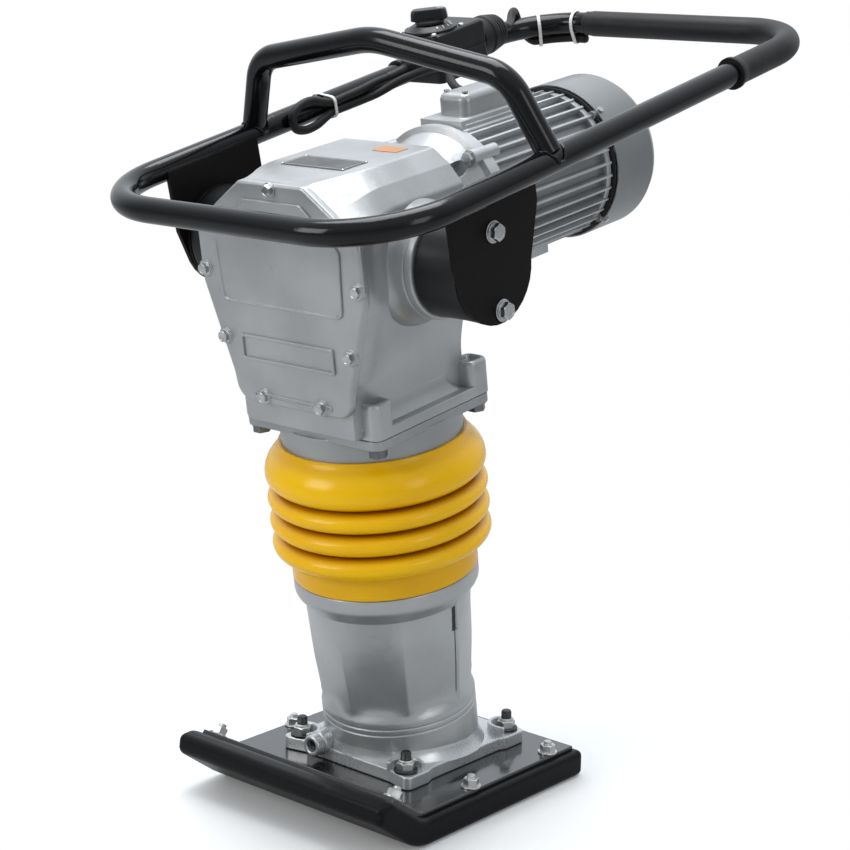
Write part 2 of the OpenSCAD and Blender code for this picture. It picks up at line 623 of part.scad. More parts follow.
module front_cover() color("#bfc2c4") on_leg() difference() {
    union() {
        plate_v(cover_front, cover_back) cover_outline();
        plate_v(cover_front - panel_t, cover_front) polygon(rounded(both_sides(panel_half), 8));
        plate_v(cover_front - panel_t, cover_front) polygon([for (p = box_pts(66, 14)) p + [0, 539]]);
        cyl_v(bearing_r + 6, cover_back, front_bearing_v + bearing_t, 0, gear_w);
    }
    cyl_v(bearing_r, front_bearing_v, front_bearing_v + bearing_t + 1, 0, gear_w);
    plate_v(cover_front - panel_t - 1, cover_front - 0.8) polygon([for (p = box_pts(62, 10.5)) p + [0, 539]]);
    for (p = cover_bolt_at) cyl_v(case_bolt_r, cover_front - 1, cover_back + 1, p[0], p[1]);
}
cover_bolt_in = cover_front + cover_t + gasket_t + case_flange_t - 3;
module cover_bolts() color("#c8cbce") on_leg() for (p = cover_bolt_at) {
    cyl_v(case_bolt_r, cover_front, cover_bolt_in, p[0], p[1]);
    cyl_v(8.5, cover_front - 1.5, cover_front, p[0], p[1]);
    translate([p[0], cover_front - 1.5, p[1]]) rotate([90, 0, 0]) hex(7.2, 6);
}
label_t = 0.6;
module label_plates() on_leg() translate([0, 0, case_top_w]) {
    color("#c9b98f") translate([-43, -52, 0]) cube([88, 39, label_t]);
    color("#e08a4e") translate([8, 29, 0]) cube([38, 22, label_t]);
}

// Bearings, each a closed ring pair with its balls drawn as one solid
module bearing_v(v, w) difference() {
    cyl_v(bearing_r, v, v + bearing_t, 0, w);
    cyl_v(journal_r + run_gap, v - 1, v + bearing_t + 1, 0, w);
    translate([0, v - 1, w]) rotate([-90, 0, 0]) ring(journal_r + 11, journal_r + 5, 2.5);
}
module crank_bearings() color("#8a8d91") on_leg() {
    bearing_v(front_bearing_v, gear_w);
    bearing_v(rear_bearing_v, gear_w);
}

// Crank gear, crank pin and web, drawn with the pin at the top
module crank_gear() color("#787b7f") on_leg() {
    difference() {
        union() {
            plate_v(gear_front, gear_back, gear_w) rotate(90) polygon(gear_pts(gear_z, 0.16));
            cyl_v(crank_pin_r + 7, gear_front - 4, gear_front, 0, crank_pin_w);
            cyl_v(22, gear_back, gear_back + 4, 0, gear_w);
            cyl_v(journal_r, gear_back, rear_bearing_v + bearing_t, 0, gear_w);
        }
        cyl_v(crank_pin_r, gear_front - 5, gear_back - 4, 0, crank_pin_w);
        for (a = [150, 210, 270, 330, 30]) cyl_v(9, gear_front - 1, gear_back + 1, 42 * cos(a), gear_w + 42 * sin(a));
    }
}
module crank_pin() color("#a4a7ab") on_leg() cyl_v(crank_pin_r, web_front + 2, gear_back - 4, 0, crank_pin_w);
module crank_web() color("#7f8286") on_leg() difference() {
    union() {
        cyl_v(40, web_front, web_back, 0, gear_w);
        cyl_v(journal_r, front_bearing_v, web_front, 0, gear_w);
    }
    cyl_v(crank_pin_r, web_front + 2, web_back + 1, 0, crank_pin_w);
}
rod_x = 9;
module connecting_rod() color("#8b8e92") on_leg() difference() {
    union() {
        cyl_v(big_eye_r, -rod_half, rod_half, 0, crank_pin_w);
        cyl_v(rod_eye_r, -rod_half, rod_half, 0, wrist_w);
        translate([-rod_x, -rod_half + 4, wrist_w]) cube([2 * rod_x, 2 * rod_half - 8, rod_len]);
    }
    cyl_v(crank_pin_r + needle_t, -rod_half - 1, rod_half + 1, 0, crank_pin_w);
    cyl_v(wrist_r, -rod_half - 1, rod_half + 1, 0, wrist_w);
}
module rod_bearing() color("#b59a5a") on_leg() difference() {
    cyl_v(crank_pin_r + needle_t, -rod_half, rod_half, 0, crank_pin_w);
    cyl_v(crank_pin_r + run_gap, -rod_half - 1, rod_half + 1, 0, crank_pin_w);
}
module wrist_pin() color("#b0b3b6") on_leg() cyl_v(wrist_r, -rod_half - 3, rod_half + 3, 0, wrist_w);

// Motor
shaft_back = fan_cover_back - 28;
rear_shield_t = 20;
fan_v = frame_back + rear_shield_t + 4;
fan_disc_r = 70;
saddle_len = 128;
core_front = frame_front + 40;
core_back = frame_back - 40;
core_r = 44;
air_gap = 1;
module rotor_shaft() color("#9ea1a5") on_leg() {
    plate_v(gear_front - 2, gear_back + 2, motor_w) rotate(-90 + 180 / pinion_z) polygon(gear_pts(pinion_z, 0.16));
    cyl_v(journal_r - 3.5, gear_back + 2, rear_bearing_v, 0, motor_w);
    cyl_v(journal_r, rear_bearing_v, shaft_back, 0, motor_w);
}
module rotor_core() color("#6d7074") on_leg() difference() {
    cyl_v(core_r, core_front, core_back, 0, motor_w);
    cyl_v(journal_r, core_front - 1, core_back + 1, 0, motor_w);
}
module rotor_bearings() color("#8a8d91") on_leg() {
    bearing_v(rear_bearing_v, motor_w);
    bearing_v(frame_back + 2, motor_w);
}
module stator() color("#a65f2c") on_leg() difference() {
    union() {
        cyl_v(frame_bore, core_front, core_back, 0, motor_w);
        cyl_v(frame_bore - 6, core_front - 18, core_back + 18, 0, motor_w);
    }
    cyl_v(core_r + air_gap, core_front - 19, core_back + 19, 0, motor_w);
}
shield_cone = [[journal_r + 6, case_back], [74, case_back], [74, case_back + 12], [60, case_back + 18],
    [80, frame_front - 12], [fin_tip_r + 2, frame_front - 10], [fin_tip_r + 2, frame_front],
    [frame_bore - 8, frame_front], [frame_bore - 10, frame_front - 8], [journal_r + 26, case_back + 22],
    [journal_r + 26, case_back + 8], [journal_r + 6, case_back + 8]];
module spin_v(w) translate([0, 0, w]) rotate([-90, 0, 0]) rotate_extrude() children();
module motor_shield() color("#c0c3c5") on_leg() difference() {
    union() {
        spin_v(motor_w) polygon(shield_cone);
        translate([0, 0, motor_w]) lug_places(fin_tip_r - 2) cyl_v(9, frame_front - 22, frame_front);
    }
    translate([0, 0, motor_w]) lug_places(lug_r - 12) cyl_v(case_bolt_r, case_back - 1, case_back + 40);
    translate([0, 0, motor_w]) lug_places(lug_r - 12) cyl_v(9, case_back + 12, case_back + 40);
    translate([0, 0, motor_w]) lug_places(fin_tip_r - 2) cyl_v(case_bolt_r, frame_front - 23, frame_front + 1);
}
module shield_bolts() color("#b4b7ba") on_leg() translate([0, 0, motor_w]) {
    lug_places(lug_r - 12) {
        cyl_v(case_bolt_r, case_back - 13, case_back + 12);
        translate([0, case_back + 12, 0]) rotate([-90, 0, 0]) hex(7, 6);
    }
    lug_places(fin_tip_r - 2) {
        cyl_v(case_bolt_r, frame_front - 22, frame_front + 16);
        translate([0, frame_front - 22, 0]) rotate([90, 0, 0]) hex(7.2, 6);
    }
}
fin_half = 1.3;
fin_root_r = frame_bore + 4;
function fin_ring(n) = [for (k = [0:n - 1]) let (a = 360 * (k + 0.5) / n, d = [cos(a), sin(a)], s = [-sin(a), cos(a)])
    each [d * fin_root_r - s * fin_half * 1.5, d * fin_tip_r - s * fin_half, d * fin_tip_r + s * fin_half,
        d * fin_root_r + s * fin_half * 1.5]];
saddle_x = terminal_x + 8;
module motor_frame() color("#b3b6b8") on_leg() difference() {
    union() {
        plate_v(frame_front, frame_back, motor_w) polygon(fin_ring(fin_count));
        cyl_v(fin_tip_r, frame_front, frame_front + 8, 0, motor_w);
        cyl_v(fin_tip_r - 2, frame_back - 8, frame_back, 0, motor_w);
        translate([-saddle_x, frame_front + 4, motor_w + fin_root_r - 8]) cube([2 * saddle_x, saddle_len, 22]);
        translate([-36, frame_back - 105, motor_w - fin_tip_r - 1]) cube([72, 40, 16]);
        translate([0, 0, motor_w]) lug_places(fin_tip_r - 2) cyl_v(8, frame_front, frame_front + 20);
    }
    cyl_v(frame_bore, frame_front - 1, frame_back + 1, 0, motor_w);
    translate([0, 0, motor_w]) lug_places(fin_tip_r - 2) cyl_v(case_bolt_r, frame_front - 1, frame_front + 17);
}
rear_cone = [[journal_r + 1, frame_back + rear_shield_t], [journal_r + 1, frame_back + 18],
    [bearing_r, frame_back + 18], [bearing_r, frame_back], [frame_bore - 4, frame_back],
    [fin_tip_r - 9, frame_back], [fin_tip_r - 9, frame_back + 8], [bearing_r + 8, frame_back + rear_shield_t]];
module rear_shield() color("#a9acae") on_leg() spin_v(motor_w) polygon(rear_cone);
cover_lip = frame_back + 5;
fan_shell = [[fan_cover_r - fan_cover_wall, cover_lip], [fan_cover_r, cover_lip], [fan_cover_r, fan_cover_back - 12],
    [fan_cover_r - 4, fan_cover_back - 4], [fan_cover_r - 14, fan_cover_back], [6, fan_cover_back],
    [6, fan_cover_back - fan_cover_wall], [fan_cover_r - 15, fan_cover_back - fan_cover_wall],
    [fan_cover_r - 5.5, fan_cover_back - 6], [fan_cover_r - fan_cover_wall, fan_cover_back - 13]];
module fan_cover() color("#cfd1d2") on_leg() difference() {
    union() {
        spin_v(motor_w) polygon(fan_shell);
        translate([0, 0, motor_w]) lug_places(fan_cover_r - 6) cyl_v(5, cover_lip - 5, cover_lip + 10);
    }
    for (r = [30, 46, 62], a = [0:30:330])
        translate([r * cos(a), fan_cover_back + 1, motor_w + r * sin(a)]) rotate([90, 0, 0]) cylinder(r = 3.5, h = 6);
}
module fan_cover_screws() color("#9da0a3") on_leg() translate([0, cover_lip + 6, motor_w]) for (a = lug_a)
    rotate([0, 90 - a, 0]) translate([0, 0, fan_cover_r]) cylinder(r = 3.5, h = 2.4);
module cooling_fan() color("#2b2b2d") on_leg() difference() {
    union() {
        cyl_v(journal_r + 8, fan_v, fan_v + 30, 0, motor_w);
        cyl_v(fan_disc_r, fan_v, fan_v + 3, 0, motor_w);
        for (a = [0:60:300]) translate([0, 0, motor_w]) rotate([0, a, 0])
            translate([journal_r + 6, fan_v, -1.5]) cube([56, 28, 3]);
    }
    cyl_v(journal_r, fan_v - 1, fan_v + 31, 0, motor_w);
}
terminal_low_w = motor_w + fin_root_r + 14;
terminal_top_w = terminal_low_w + terminal_h;
terminal_front = frame_front + 24;
terminal_back = frame_front + 118;
module terminal_block(v0, v1, x, w0, w1, r) translate([0, (v0 + v1) / 2, w0]) linear_extrude(w1 - w0)
    polygon(rounded(box_pts(x, (v1 - v0) / 2), r));
gland_w = terminal_low_w + 10;
gland_v = terminal_back - 18;
module terminal_box() color("#c5c8ca") on_leg() difference() {
    union() {
        terminal_block(terminal_front, terminal_back, terminal_x, terminal_low_w, terminal_top_w - 5, 7);
        cyl_x(9.5, -terminal_x - 10, -terminal_x, gland_v, gland_w);
    }
    terminal_block(terminal_front + 4, terminal_back - 4, terminal_x - 4, terminal_low_w + 4, terminal_top_w, 4);
    cyl_x(lead_r + soft_gap, -terminal_x - 11, -terminal_x + 5, gland_v, gland_w);
}
module terminal_lid() color("#c9cccd") on_leg() terminal_block(terminal_front - 1, terminal_back + 1,
    terminal_x + 1, terminal_top_w - 5, terminal_top_w, 8);
module terminal_screws() color("#a6a9ab") on_leg()
    for (sx = [-1, 1], v = [terminal_front + 9, terminal_back - 9])
        translate([sx * (terminal_x - 8), v, terminal_top_w]) cylinder(r = 3.2, h = 2.2);

// Rubber mounts and brackets
module rubber_mounts() color("#19191b") on_leg() for (s = [0, 1]) mirror([s, 0, 0])
    cyl_x(mount_r, boss_x, bracket_x - mount_plate_t - flat_gap, mount_v, mount_w);
module both_handles() for (s = [0, 1]) mirror([s, 0, 0]) children();
bracket_bolt_r = 5;
module bolt_rows(x0, x1) for (s = [-1, 1]) cyl_x(bracket_bolt_r, x0, x1, mount_u, mount_t + s * bracket_bolt_t);
module mount_plates() color("#1d1d20") on_handle() both_handles() difference() {
    cyl_x(mount_r, bracket_x - mount_plate_t, bracket_x, mount_u, mount_t);
    bolt_rows(bracket_x - mount_plate_t - 1, bracket_x + 1);
}
bracket_r = mount_r + 1;
bracket_pts = concat([[-76, rail_t], [-76, 26]],
    [for (a = [200:12:356]) [mount_u + bracket_r * cos(a), mount_t + bracket_r * sin(a)]], [[60, 56], [60, rail_t]]);
module side_brackets() color("#1a1a1d") on_handle() both_handles() difference() {
    translate([bracket_x, 0, 0]) rotate([90, 0, 90]) linear_extrude(bracket_t) polygon(bracket_pts);
    run_u(rail_r, rail_x, -100, 100);
    bolt_rows(bracket_x - 1, bracket_x + bracket_t + 1);
}
module bracket_bolts() color("#c3c6c9") on_handle() both_handles() for (s = [-1, 1])
    translate([bracket_x + bracket_t, mount_u, mount_t + s * bracket_bolt_t]) {
        cyl_x(11, 0, 2);
        translate([2, 0, 0]) rotate([0, 90, 0]) hex(9.2, 7);
        cyl_x(bracket_bolt_r, -bracket_t - mount_plate_t, 0);
    }

// Handle tube: straight runs and quarter bends about the corners of a rectangle
module run_u(r, x, u0, u1) translate([x, u0, rail_t]) rotate([-90, 0, 0]) cylinder(r = r, h = u1 - u0);
module run_x(r, u, x0, x1) translate([x0, u, rail_t]) rotate([0, 90, 0]) cylinder(r = r, h = x1 - x0);
module quarter(r, bend, x, u, a) translate([x, u, rail_t]) rotate([0, 0, a]) rotate_extrude(angle = 90)
    translate([bend, 0]) circle(r = r);
front_bar_x = rail_x - front_corner_r;
rear_bar_x = rail_x - rear_corner_r;
rear_bend_u = rear_u - rear_corner_r;
front_bend_u = front_u + front_corner_r;
module handle_loop() color("#141416") on_handle() {
    for (s = [-1, 1]) run_u(rail_r, s * rail_x, front_bend_u, rear_bend_u);
    run_x(rail_r, front_u, -front_bar_x, front_bar_x);
    run_x(rail_r, rear_u, -rear_bar_x, rear_bar_x);
    quarter(rail_r, rear_corner_r, rear_bar_x, rear_bend_u, 0);
    quarter(rail_r, rear_corner_r, -rear_bar_x, rear_bend_u, 90);
    quarter(rail_r, front_corner_r, -front_bar_x, front_bend_u, 180);
    quarter(rail_r, front_corner_r, front_bar_x, front_bend_u, 270);
}
grip_in = rail_r + flat_gap;
module grip_run(r, over) {
    run_u(r, rail_x, grip_u - over, rear_bend_u);
    quarter(r, rear_corner_r, rear_bar_x, rear_bend_u, 0);
    run_x(r, rear_u, grip_x - over, rear_bar_x);
}
module grip_sleeve() color("#19191c") on_handle() difference() {
    union() {
        grip_run(grip_r, 0);
        run_u(grip_r + 2.5, rail_x, grip_u, grip_u + 7);
    }
    grip_run(grip_in, 1);
}

// Lifting hoop, bent in one leaning plane that stands on both rails
hoop_foot = [rail_x, rail_r * 0.6];
shoulder_at = [shoulder_x, shoulder_t];
peak_at = [0, peak_t];
function flipped(p) = [-p[0], p[1]];
hoop_bends = concat(fillet(hoop_foot, shoulder_at, peak_at, shoulder_r, 7),
    fillet(shoulder_at, peak_at, flipped(shoulder_at), peak_r, 4),
    fillet(peak_at, flipped(shoulder_at), flipped(hoop_foot), shoulder_r, 7));
hoop_line = [for (p = concat([hoop_foot], hoop_bends, [flipped(hoop_foot)])) [p[0], 0, p[1]]];
module lifting_hoop() color("#151517") on_handle() difference() {
    translate([0, hoop_u, rail_t]) rotate([hoop_lean, 0, 0]) swept(hoop_line, rail_r, 24, [1, 0, 0]);
    for (s = [-1, 1]) run_u(rail_r, s * rail_x, 0, 140);
}

// Switch
switch_mid_u = switch_front + switch_len / 2;
dial_u = switch_front + switch_w / 2 - 4.5;
module housing_block(t0, t1, in_by, r) translate([switch_x, switch_mid_u, t0]) linear_extrude(t1 - t0)
    polygon(rounded(box_pts(switch_w / 2 - in_by, switch_len / 2 - in_by), r));
clamp_in = switch_x - switch_w / 2 + 1;
module switch_housing() color("#1c1c1f") on_handle() {
    difference() {
        housing_block(switch_low_t, switch_top_t, 0, 8);
        housing_block(switch_low_t + 3, switch_top_t - 3, 3, 5);
    }
    difference() {
        translate([-rail_x - 6, switch_front + 12, rail_t]) cube([clamp_in + rail_x + 6, 44, rail_r + 16]);
        run_u(rail_r + run_gap, -rail_x, switch_front, switch_front + switch_len);
        housing_block(rail_t - 1, rail_t + rail_r + 20, 1.5, 6);
    }
}
stem_r = 6;
module switch_dial() color("#2a2a2d") on_handle() translate([switch_x, dial_u, switch_top_t]) {
    difference() {
        union() {
            cylinder(r = dial_r, h = 3);
            translate([0, 0, 3]) cylinder(r1 = dial_r - 2, r2 = dial_r - 10, h = dial_h - 3);
        }
        translate([0, 0, -1]) cylinder(r = stem_r + run_gap, h = dial_h + 2);
    }
    for (sx = [-1, 1], sy = [-1, 1]) translate([sx * 26, sy * 25, 0]) cylinder(r = 3, h = 2);
}
module switch_knob() color("#242427") on_handle() translate([switch_x, dial_u, switch_top_t]) {
    cylinder(r = stem_r, h = dial_h + 5);
    translate([0, 0, dial_h + 5]) linear_extrude(13) rotate(35) polygon(rounded(box_pts(knob_len / 2, 9), 6));
}

// Cable boot, ties and the two leads, with their routes in the handle's frame
boot_at = [switch_x + 5, switch_front + switch_len, (switch_low_t + switch_top_t) / 2];
boot_r = 24;
boot_len = 60;
boot_profile = [[lead_r + soft_gap, 0], [boot_r, 0], [boot_r, 18], [boot_r - 1.5, 18], [boot_r - 1.5, 21],
    [boot_r, 21], [boot_r, boot_len - 9], [boot_r - 6, boot_len], [lead_r + soft_gap, boot_len]];
module cable_boot() color("#1e1e20") on_handle() translate(boot_at) rotate([-90, 0, 0])
    rotate_extrude() polygon(boot_profile);
side_x = -rail_x + rail_r + lead_r + soft_gap;
function in_handle(x, v, w) = let (dv = v - trunnion_v, dw = w - trunnion_w)
    [x, dv * cos(rail_tilt) + dw * sin(rail_tilt), dw * cos(rail_tilt) - dv * sin(rail_tilt)];
motor_route = [[-176, switch_front - soft_gap, 106], [-176, switch_front - 5, 106],
    [-176, switch_front - 11, 106], [-183, 281, 103], [side_x, 261, 101], [side_x, 232, 99.2],
    [side_x, 204, 98.6], [side_x, 182, 98.4], [side_x, 164, 104], [side_x, 148, 109.5], [side_x, 130, 108.5],
    [side_x, 118, 102], [side_x, 115, 93], [side_x, 120, 84], [side_x, 134, 79.5], [side_x, 152, 80],
    [side_x, 168, 84.5], [side_x, 182, 87.6], [side_x, 205, 87.6], [side_x, 232, 87.4], [-184, 256, 89.5],
    [-168, 280, 99], [-142, 296, 108], [-115, 296, 113], [-92, 282, 112], [-76, 264, 108], [-58, 252, 103.5],
    in_handle(-terminal_x - 22, gland_v, gland_w), in_handle(-terminal_x - 10, gland_v, gland_w),
    in_handle(-terminal_x + 3, gland_v, gland_w)];
function corner_pt(a, off) = [-rear_bar_x - (rear_corner_r + off) * cos(a),
    rear_bend_u + (rear_corner_r + off) * sin(a), rail_t];
function round_bar(a, f, d) = corner_pt(a, d * sin(f)) + [0, 0, d * cos(f)];
under_d = rail_r + lead_r + soft_gap;
supply_route = [boot_at + [0, 8, 0], boot_at + [0, 46, 0], boot_at + [-1, 66, 0], [-163, 482, 113],
    round_bar(14, -50, 28), round_bar(24, -15, 24), round_bar(31, 25, 23), round_bar(35, 75, 21),
    round_bar(38, 125, 20), round_bar(42, 168, under_d), round_bar(48, 180, under_d), round_bar(58, 180, under_d),
    round_bar(70, 180, under_d), round_bar(80, 180, under_d), round_bar(90, 180, under_d + 1)];
lead_sides = 10;
motor_path = smooth(motor_route, 3);
supply_path = smooth(supply_route, 3);
module motor_lead() color("#1b1b1d") on_handle() swept(motor_path, lead_r, lead_sides, [0, 0, 1]);
module supply_lead() color("#1b1b1d") on_handle() swept(supply_path, lead_r, lead_sides, [0, 0, 1]);
rail_tie_u = 182;
bar_tie_a = [48, 80];
tie_t = 1.2;
tie_w = 4;
function oval(pts, radii) = [for (i = [0:len(pts) - 1]) let (n = len(pts))
    each fillet(pts[(i + n - 1) % n], pts[i], pts[(i + 1) % n], radii[i], 6)];
lead_side = under_d + lead_r;
module tie(shape) rotate([90, 0, 0]) translate([0, 0, -tie_w / 2]) linear_extrude(tie_w) difference() {
    polygon(oval([for (p = shape) [p[0] + sign(p[0]) * tie_t, p[1] + sign(p[1]) * tie_t]],
        [for (p = shape) p[2] + tie_t]));
    polygon(oval(shape, [for (p = shape) p[2]]));
}
tie_half = rail_r + 0.4;
rail_tie = [[lead_side, -11, 6], [lead_side, 11, 6], [0, tie_half, 10], [-tie_half, tie_half, 13],
    [-tie_half, -tie_half, 13], [0, -tie_half, 10]];
bar_tie_pts = [[tie_half, -4, 10], [tie_half, tie_half, 13], [-tie_half, tie_half, 13], [-tie_half, -4, 10],
    [-6, -lead_side - 0.4, 4], [6, -lead_side - 0.4, 4]];
module bar_tie(a) translate(corner_pt(a, 0)) rotate([0, 0, -a]) tie(bar_tie_pts);
module zip_ties() color("#e9e9e6") on_handle() {
    translate([-rail_x, rail_tie_u, rail_t]) tie(rail_tie);
    for (a = bar_tie_a) bar_tie(a);
}

sole_slab();
shoe_plate();
sole_bolts();
leg_housing();
leg_studs();
leg_nuts();
leg_washers();
drain_plug();
spring_tube();
spring_cap();
lower_spring();
upper_spring();
spring_piston();
piston_rod();
crosshead();
stop_ring();
bellows();
guide_cylinder();
guide_bush();
flange_bolts();
crankcase();
cover_gasket();
front_cover();
cover_bolts();
label_plates();
crank_bearings();
motor_shield();
shield_bolts();
motor_frame();
stator();
rear_shield();
fan_cover();
fan_cover_screws();
terminal_box();
terminal_lid();
terminal_screws();
rotor_bearings();
rubber_mounts();
crank_gear();
crank_pin();
crank_web();
connecting_rod();
rod_bearing();
wrist_pin();
rotor_shaft();
rotor_core();
cooling_fan();
mount_plates();
side_brackets();
bracket_bolts();
handle_loop();
lifting_hoop();
grip_sleeve();
zip_ties();
switch_housing();
switch_dial();
switch_knob();
cable_boot();
motor_lead();
supply_lead();
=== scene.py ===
from math import acos, atan2, copysign, cos, degrees, pi, radians, sin, sqrt, tan

import bmesh
import bpy
from mathutils import Matrix, Vector


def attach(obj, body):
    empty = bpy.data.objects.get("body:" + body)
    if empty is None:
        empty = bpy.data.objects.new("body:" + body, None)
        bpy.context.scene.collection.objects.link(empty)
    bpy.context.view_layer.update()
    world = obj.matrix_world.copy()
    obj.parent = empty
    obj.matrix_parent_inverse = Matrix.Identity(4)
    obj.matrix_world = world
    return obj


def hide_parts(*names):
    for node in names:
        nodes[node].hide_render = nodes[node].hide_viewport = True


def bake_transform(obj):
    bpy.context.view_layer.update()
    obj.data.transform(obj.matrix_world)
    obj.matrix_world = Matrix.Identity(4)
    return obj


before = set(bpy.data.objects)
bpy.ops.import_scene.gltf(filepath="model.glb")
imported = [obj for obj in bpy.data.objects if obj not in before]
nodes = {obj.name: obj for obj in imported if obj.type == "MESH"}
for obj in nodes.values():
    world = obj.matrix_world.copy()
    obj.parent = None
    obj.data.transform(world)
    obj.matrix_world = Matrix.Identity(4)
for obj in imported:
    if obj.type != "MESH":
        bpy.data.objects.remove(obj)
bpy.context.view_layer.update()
scene = bpy.context.scene
mm = 0.001
corners = [(sx, sy) for sx in (-1, 1) for sy in (-1, 1)]


def added(name, data):
    made = bpy.data.objects.new(name, data)
    scene.collection.objects.link(made)
    return made


def at(x, y, z):
    return Matrix.Translation((x, y, z))


def spin(angle, axis):
    return Matrix.Rotation(radians(angle), 4, axis)


# Places: the leaning upper body, and the handle tilted about its trunnion, as in the CAD source
legLean, legShift = 9.1, 4
handleTilt, trunnion = 4.1, (9, 616)
onLeg = at(0, legShift * mm, 0) @ spin(legLean, "X")
onLegMm = at(0, legShift, 0) @ spin(legLean, "X")
onHandle = onLeg @ at(0, trunnion[0] * mm, trunnion[1] * mm) @ spin(handleTilt, "X")
faceFront = spin(90, "X")
placeOf = {"foot": Matrix.Identity(4), "upper": onLeg, "handle": onHandle, "knob": onHandle}


# The camera was fitted to the photo
def makeCamera():
    data = bpy.data.cameras.new("camera")
    data.lens = 88.21
    data.sensor_width = 36
    data.clip_start = 0.05
    data.clip_end = 60
    camera = added("camera", data)
    right = (0.75664, 0.65356, 0.01866)
    up = (-0.1589, 0.15613, 0.97487)
    back = (0.63422, -0.7406, 0.22198)
    camera.matrix_world = at(1.46839, -1.6895, 0.91874) @ Matrix((right, up, back)).transposed().to_4x4()
    scene.camera = camera


makeCamera()
print("stage: camera")


# Node graphs: a socket with arithmetic, a tree with one method for nodes, and a material
class Wire:
    def __init__(self, graph, socket):
        self.graph = graph
        self.socket = socket

    def __add__(self, other):
        return self.graph.math("ADD", self, other)

    def __radd__(self, other):
        return self.graph.math("ADD", other, self)

    def __sub__(self, other):
        return self.graph.math("SUBTRACT", self, other)

    def __rsub__(self, other):
        return self.graph.math("SUBTRACT", other, self)

    def __mul__(self, other):
        return self.graph.math("MULTIPLY", self, other)

    def __rmul__(self, other):
        return self.graph.math("MULTIPLY", other, self)

    def ramp(self, low, high, top=1):
        settings = {"interpolation_type": "SMOOTHSTEP"}
        return self.graph.node("ShaderNodeMapRange", settings, {0: self, 1: low, 2: high, 3: 0, 4: top})

    def blend(self, first, second):
        return self.graph.node("ShaderNodeMix", {"data_type": "RGBA"}, {0: self, 6: first, 7: second}, 2)


class Graph:
    def __init__(self, tree):
        self.tree = tree

    def node(self, kind, settings, values, output=0):
        made = self.tree.nodes.new(kind)
        for key, value in settings.items():
            setattr(made, key, value)
        for key, value in values.items():
            self.feed(made.inputs[key], value)
        return Wire(self, made.outputs[output]) if made.outputs else None

    def feed(self, target, value):
        if isinstance(value, Wire):
            self.tree.links.new(value.socket, target)
        elif isinstance(value, tuple) and len(value) == 3 and target.type == "RGBA":
            target.default_value = (*value, 1)
        else:
            target.default_value = value

    def math(self, operation, first, second, **settings):
        return self.node("ShaderNodeMath", {"operation": operation, **settings}, {0: first, 1: second})

    def dot(self, first, second):
        return self.node("ShaderNodeVectorMath", {"operation": "DOT_PRODUCT"}, {0: first, 1: second}, "Value")


class Paint(Graph):
    def __init__(self, name):
        self.material = bpy.data.materials.new(name)
        self.material.use_nodes = True
        super().__init__(self.material.node_tree)
        self.shader = self.tree.nodes["Principled BSDF"]
        self.place = self.node("ShaderNodeTexCoord", {}, {}, "Object")

    def set(self, **values):
        for key, value in values.items():
            self.feed(self.shader.inputs[key.replace("_", " ")], value)
        return self.material

    def noise(self, scale, detail=3, rough=0.5, stretch=(1, 1, 1), offset=(0, 0, 0)):
        where = self.node("ShaderNodeMapping", {}, {0: self.place, 1: offset, 3: stretch})
        values = {"Vector": where, "Scale": scale, "Detail": detail, "Roughness": rough}
        return self.node("ShaderNodeTexNoise", {}, values, "Fac")

    def round(self, radius):
        return self.node("ShaderNodeBevel", {"samples": 4}, {"Radius": radius})

    # How far a rounded normal differs from the true one: worn edges
    def edges(self, radius):
        flat = self.node("ShaderNodeNewGeometry", {}, {}, "Normal")
        return (1 - self.dot(self.round(radius), flat)).ramp(0.02, 0.22)

    def bump(self, height, distance, strength, normal=None):
        values = {"Height": height, "Distance": distance, "Strength": strength}
        if normal is not None:
            values["Normal"] = normal
        return self.node("ShaderNodeBump", {}, values)


# Finishes: one dictionary each, then the node graph that it drives. With a groove shade colour set, the fin
# grooves darken towards the motor's axis: painted shade between the fins.
castLook = {"base": (0.365, 0.375, 0.38), "light": (0.45, 0.462, 0.468), "grime": (0.24, 0.243, 0.245),
            "rubbed": (0.72, 0.73, 0.74), "metal": 0.62, "rough": 0.36, "sand": 620, "wave": 85,
            "sandDepth": 0.00016, "waveDepth": 0.0007, "corner": 0.0016, "coat": 0.18, "deep": None}
motorAxis = {"side": (1, 0, 0), "up": (0, -0.15816, 0.98741), "height": 0.63437, "inner": 0.0051,
             "outer": 0.0068}


def castPaint(name, **changes):
    look = {**castLook, **changes}
    paint = Paint(name)
    cloud = paint.noise(11, 4)
    sand = paint.noise(look["sand"], 3, 0.6)
    wave = paint.noise(look["wave"], 2)
    stain = paint.noise(34, 5, 0.62, offset=(3, 1, 2)).ramp(0.6, 0.78)
    body = cloud.ramp(0.32, 0.7).blend(look["base"], look["light"])
    body = (stain * 0.3).blend(body, look["grime"])
    rim = paint.edges(look["corner"]) * paint.noise(140, 3).ramp(0.35, 0.62)
    body = (rim * 0.35).blend(body, look["rubbed"])
    # Painted shade: darker towards the motor's axis, in the grooves between the fins
    if look["deep"]:
        across = paint.dot(paint.place, motorAxis["side"])
        over = paint.dot(paint.place, motorAxis["up"]) - motorAxis["height"]
        outsideFinShade = (across * across + over * over).ramp(motorAxis["inner"], motorAxis["outer"])
        body = outsideFinShade.blend(look["deep"], body)
    height = paint.bump(wave, look["waveDepth"], 0.5, paint.round(look["corner"]))
    height = paint.bump(sand, look["sandDepth"], 0.6, height)
    rough = cloud * 0.14 + sand * 0.1 + (look["rough"] - 0.1)
    return paint.set(Base_Color=body, Metallic=look["metal"], Roughness=rough, Normal=height,
                     Coat_Weight=look["coat"], Coat_Roughness=0.22)


blackLook = {"base": (0.0032, 0.0035, 0.0048), "worn": (0.03, 0.032, 0.036), "dusty": (0.16, 0.16, 0.165),
             "rough": 0.13, "coat": 0, "peel": 260, "peelDepth": 0.00018, "corner": 0.0009, "dust": 0.015,
             "gloss": 0.3}


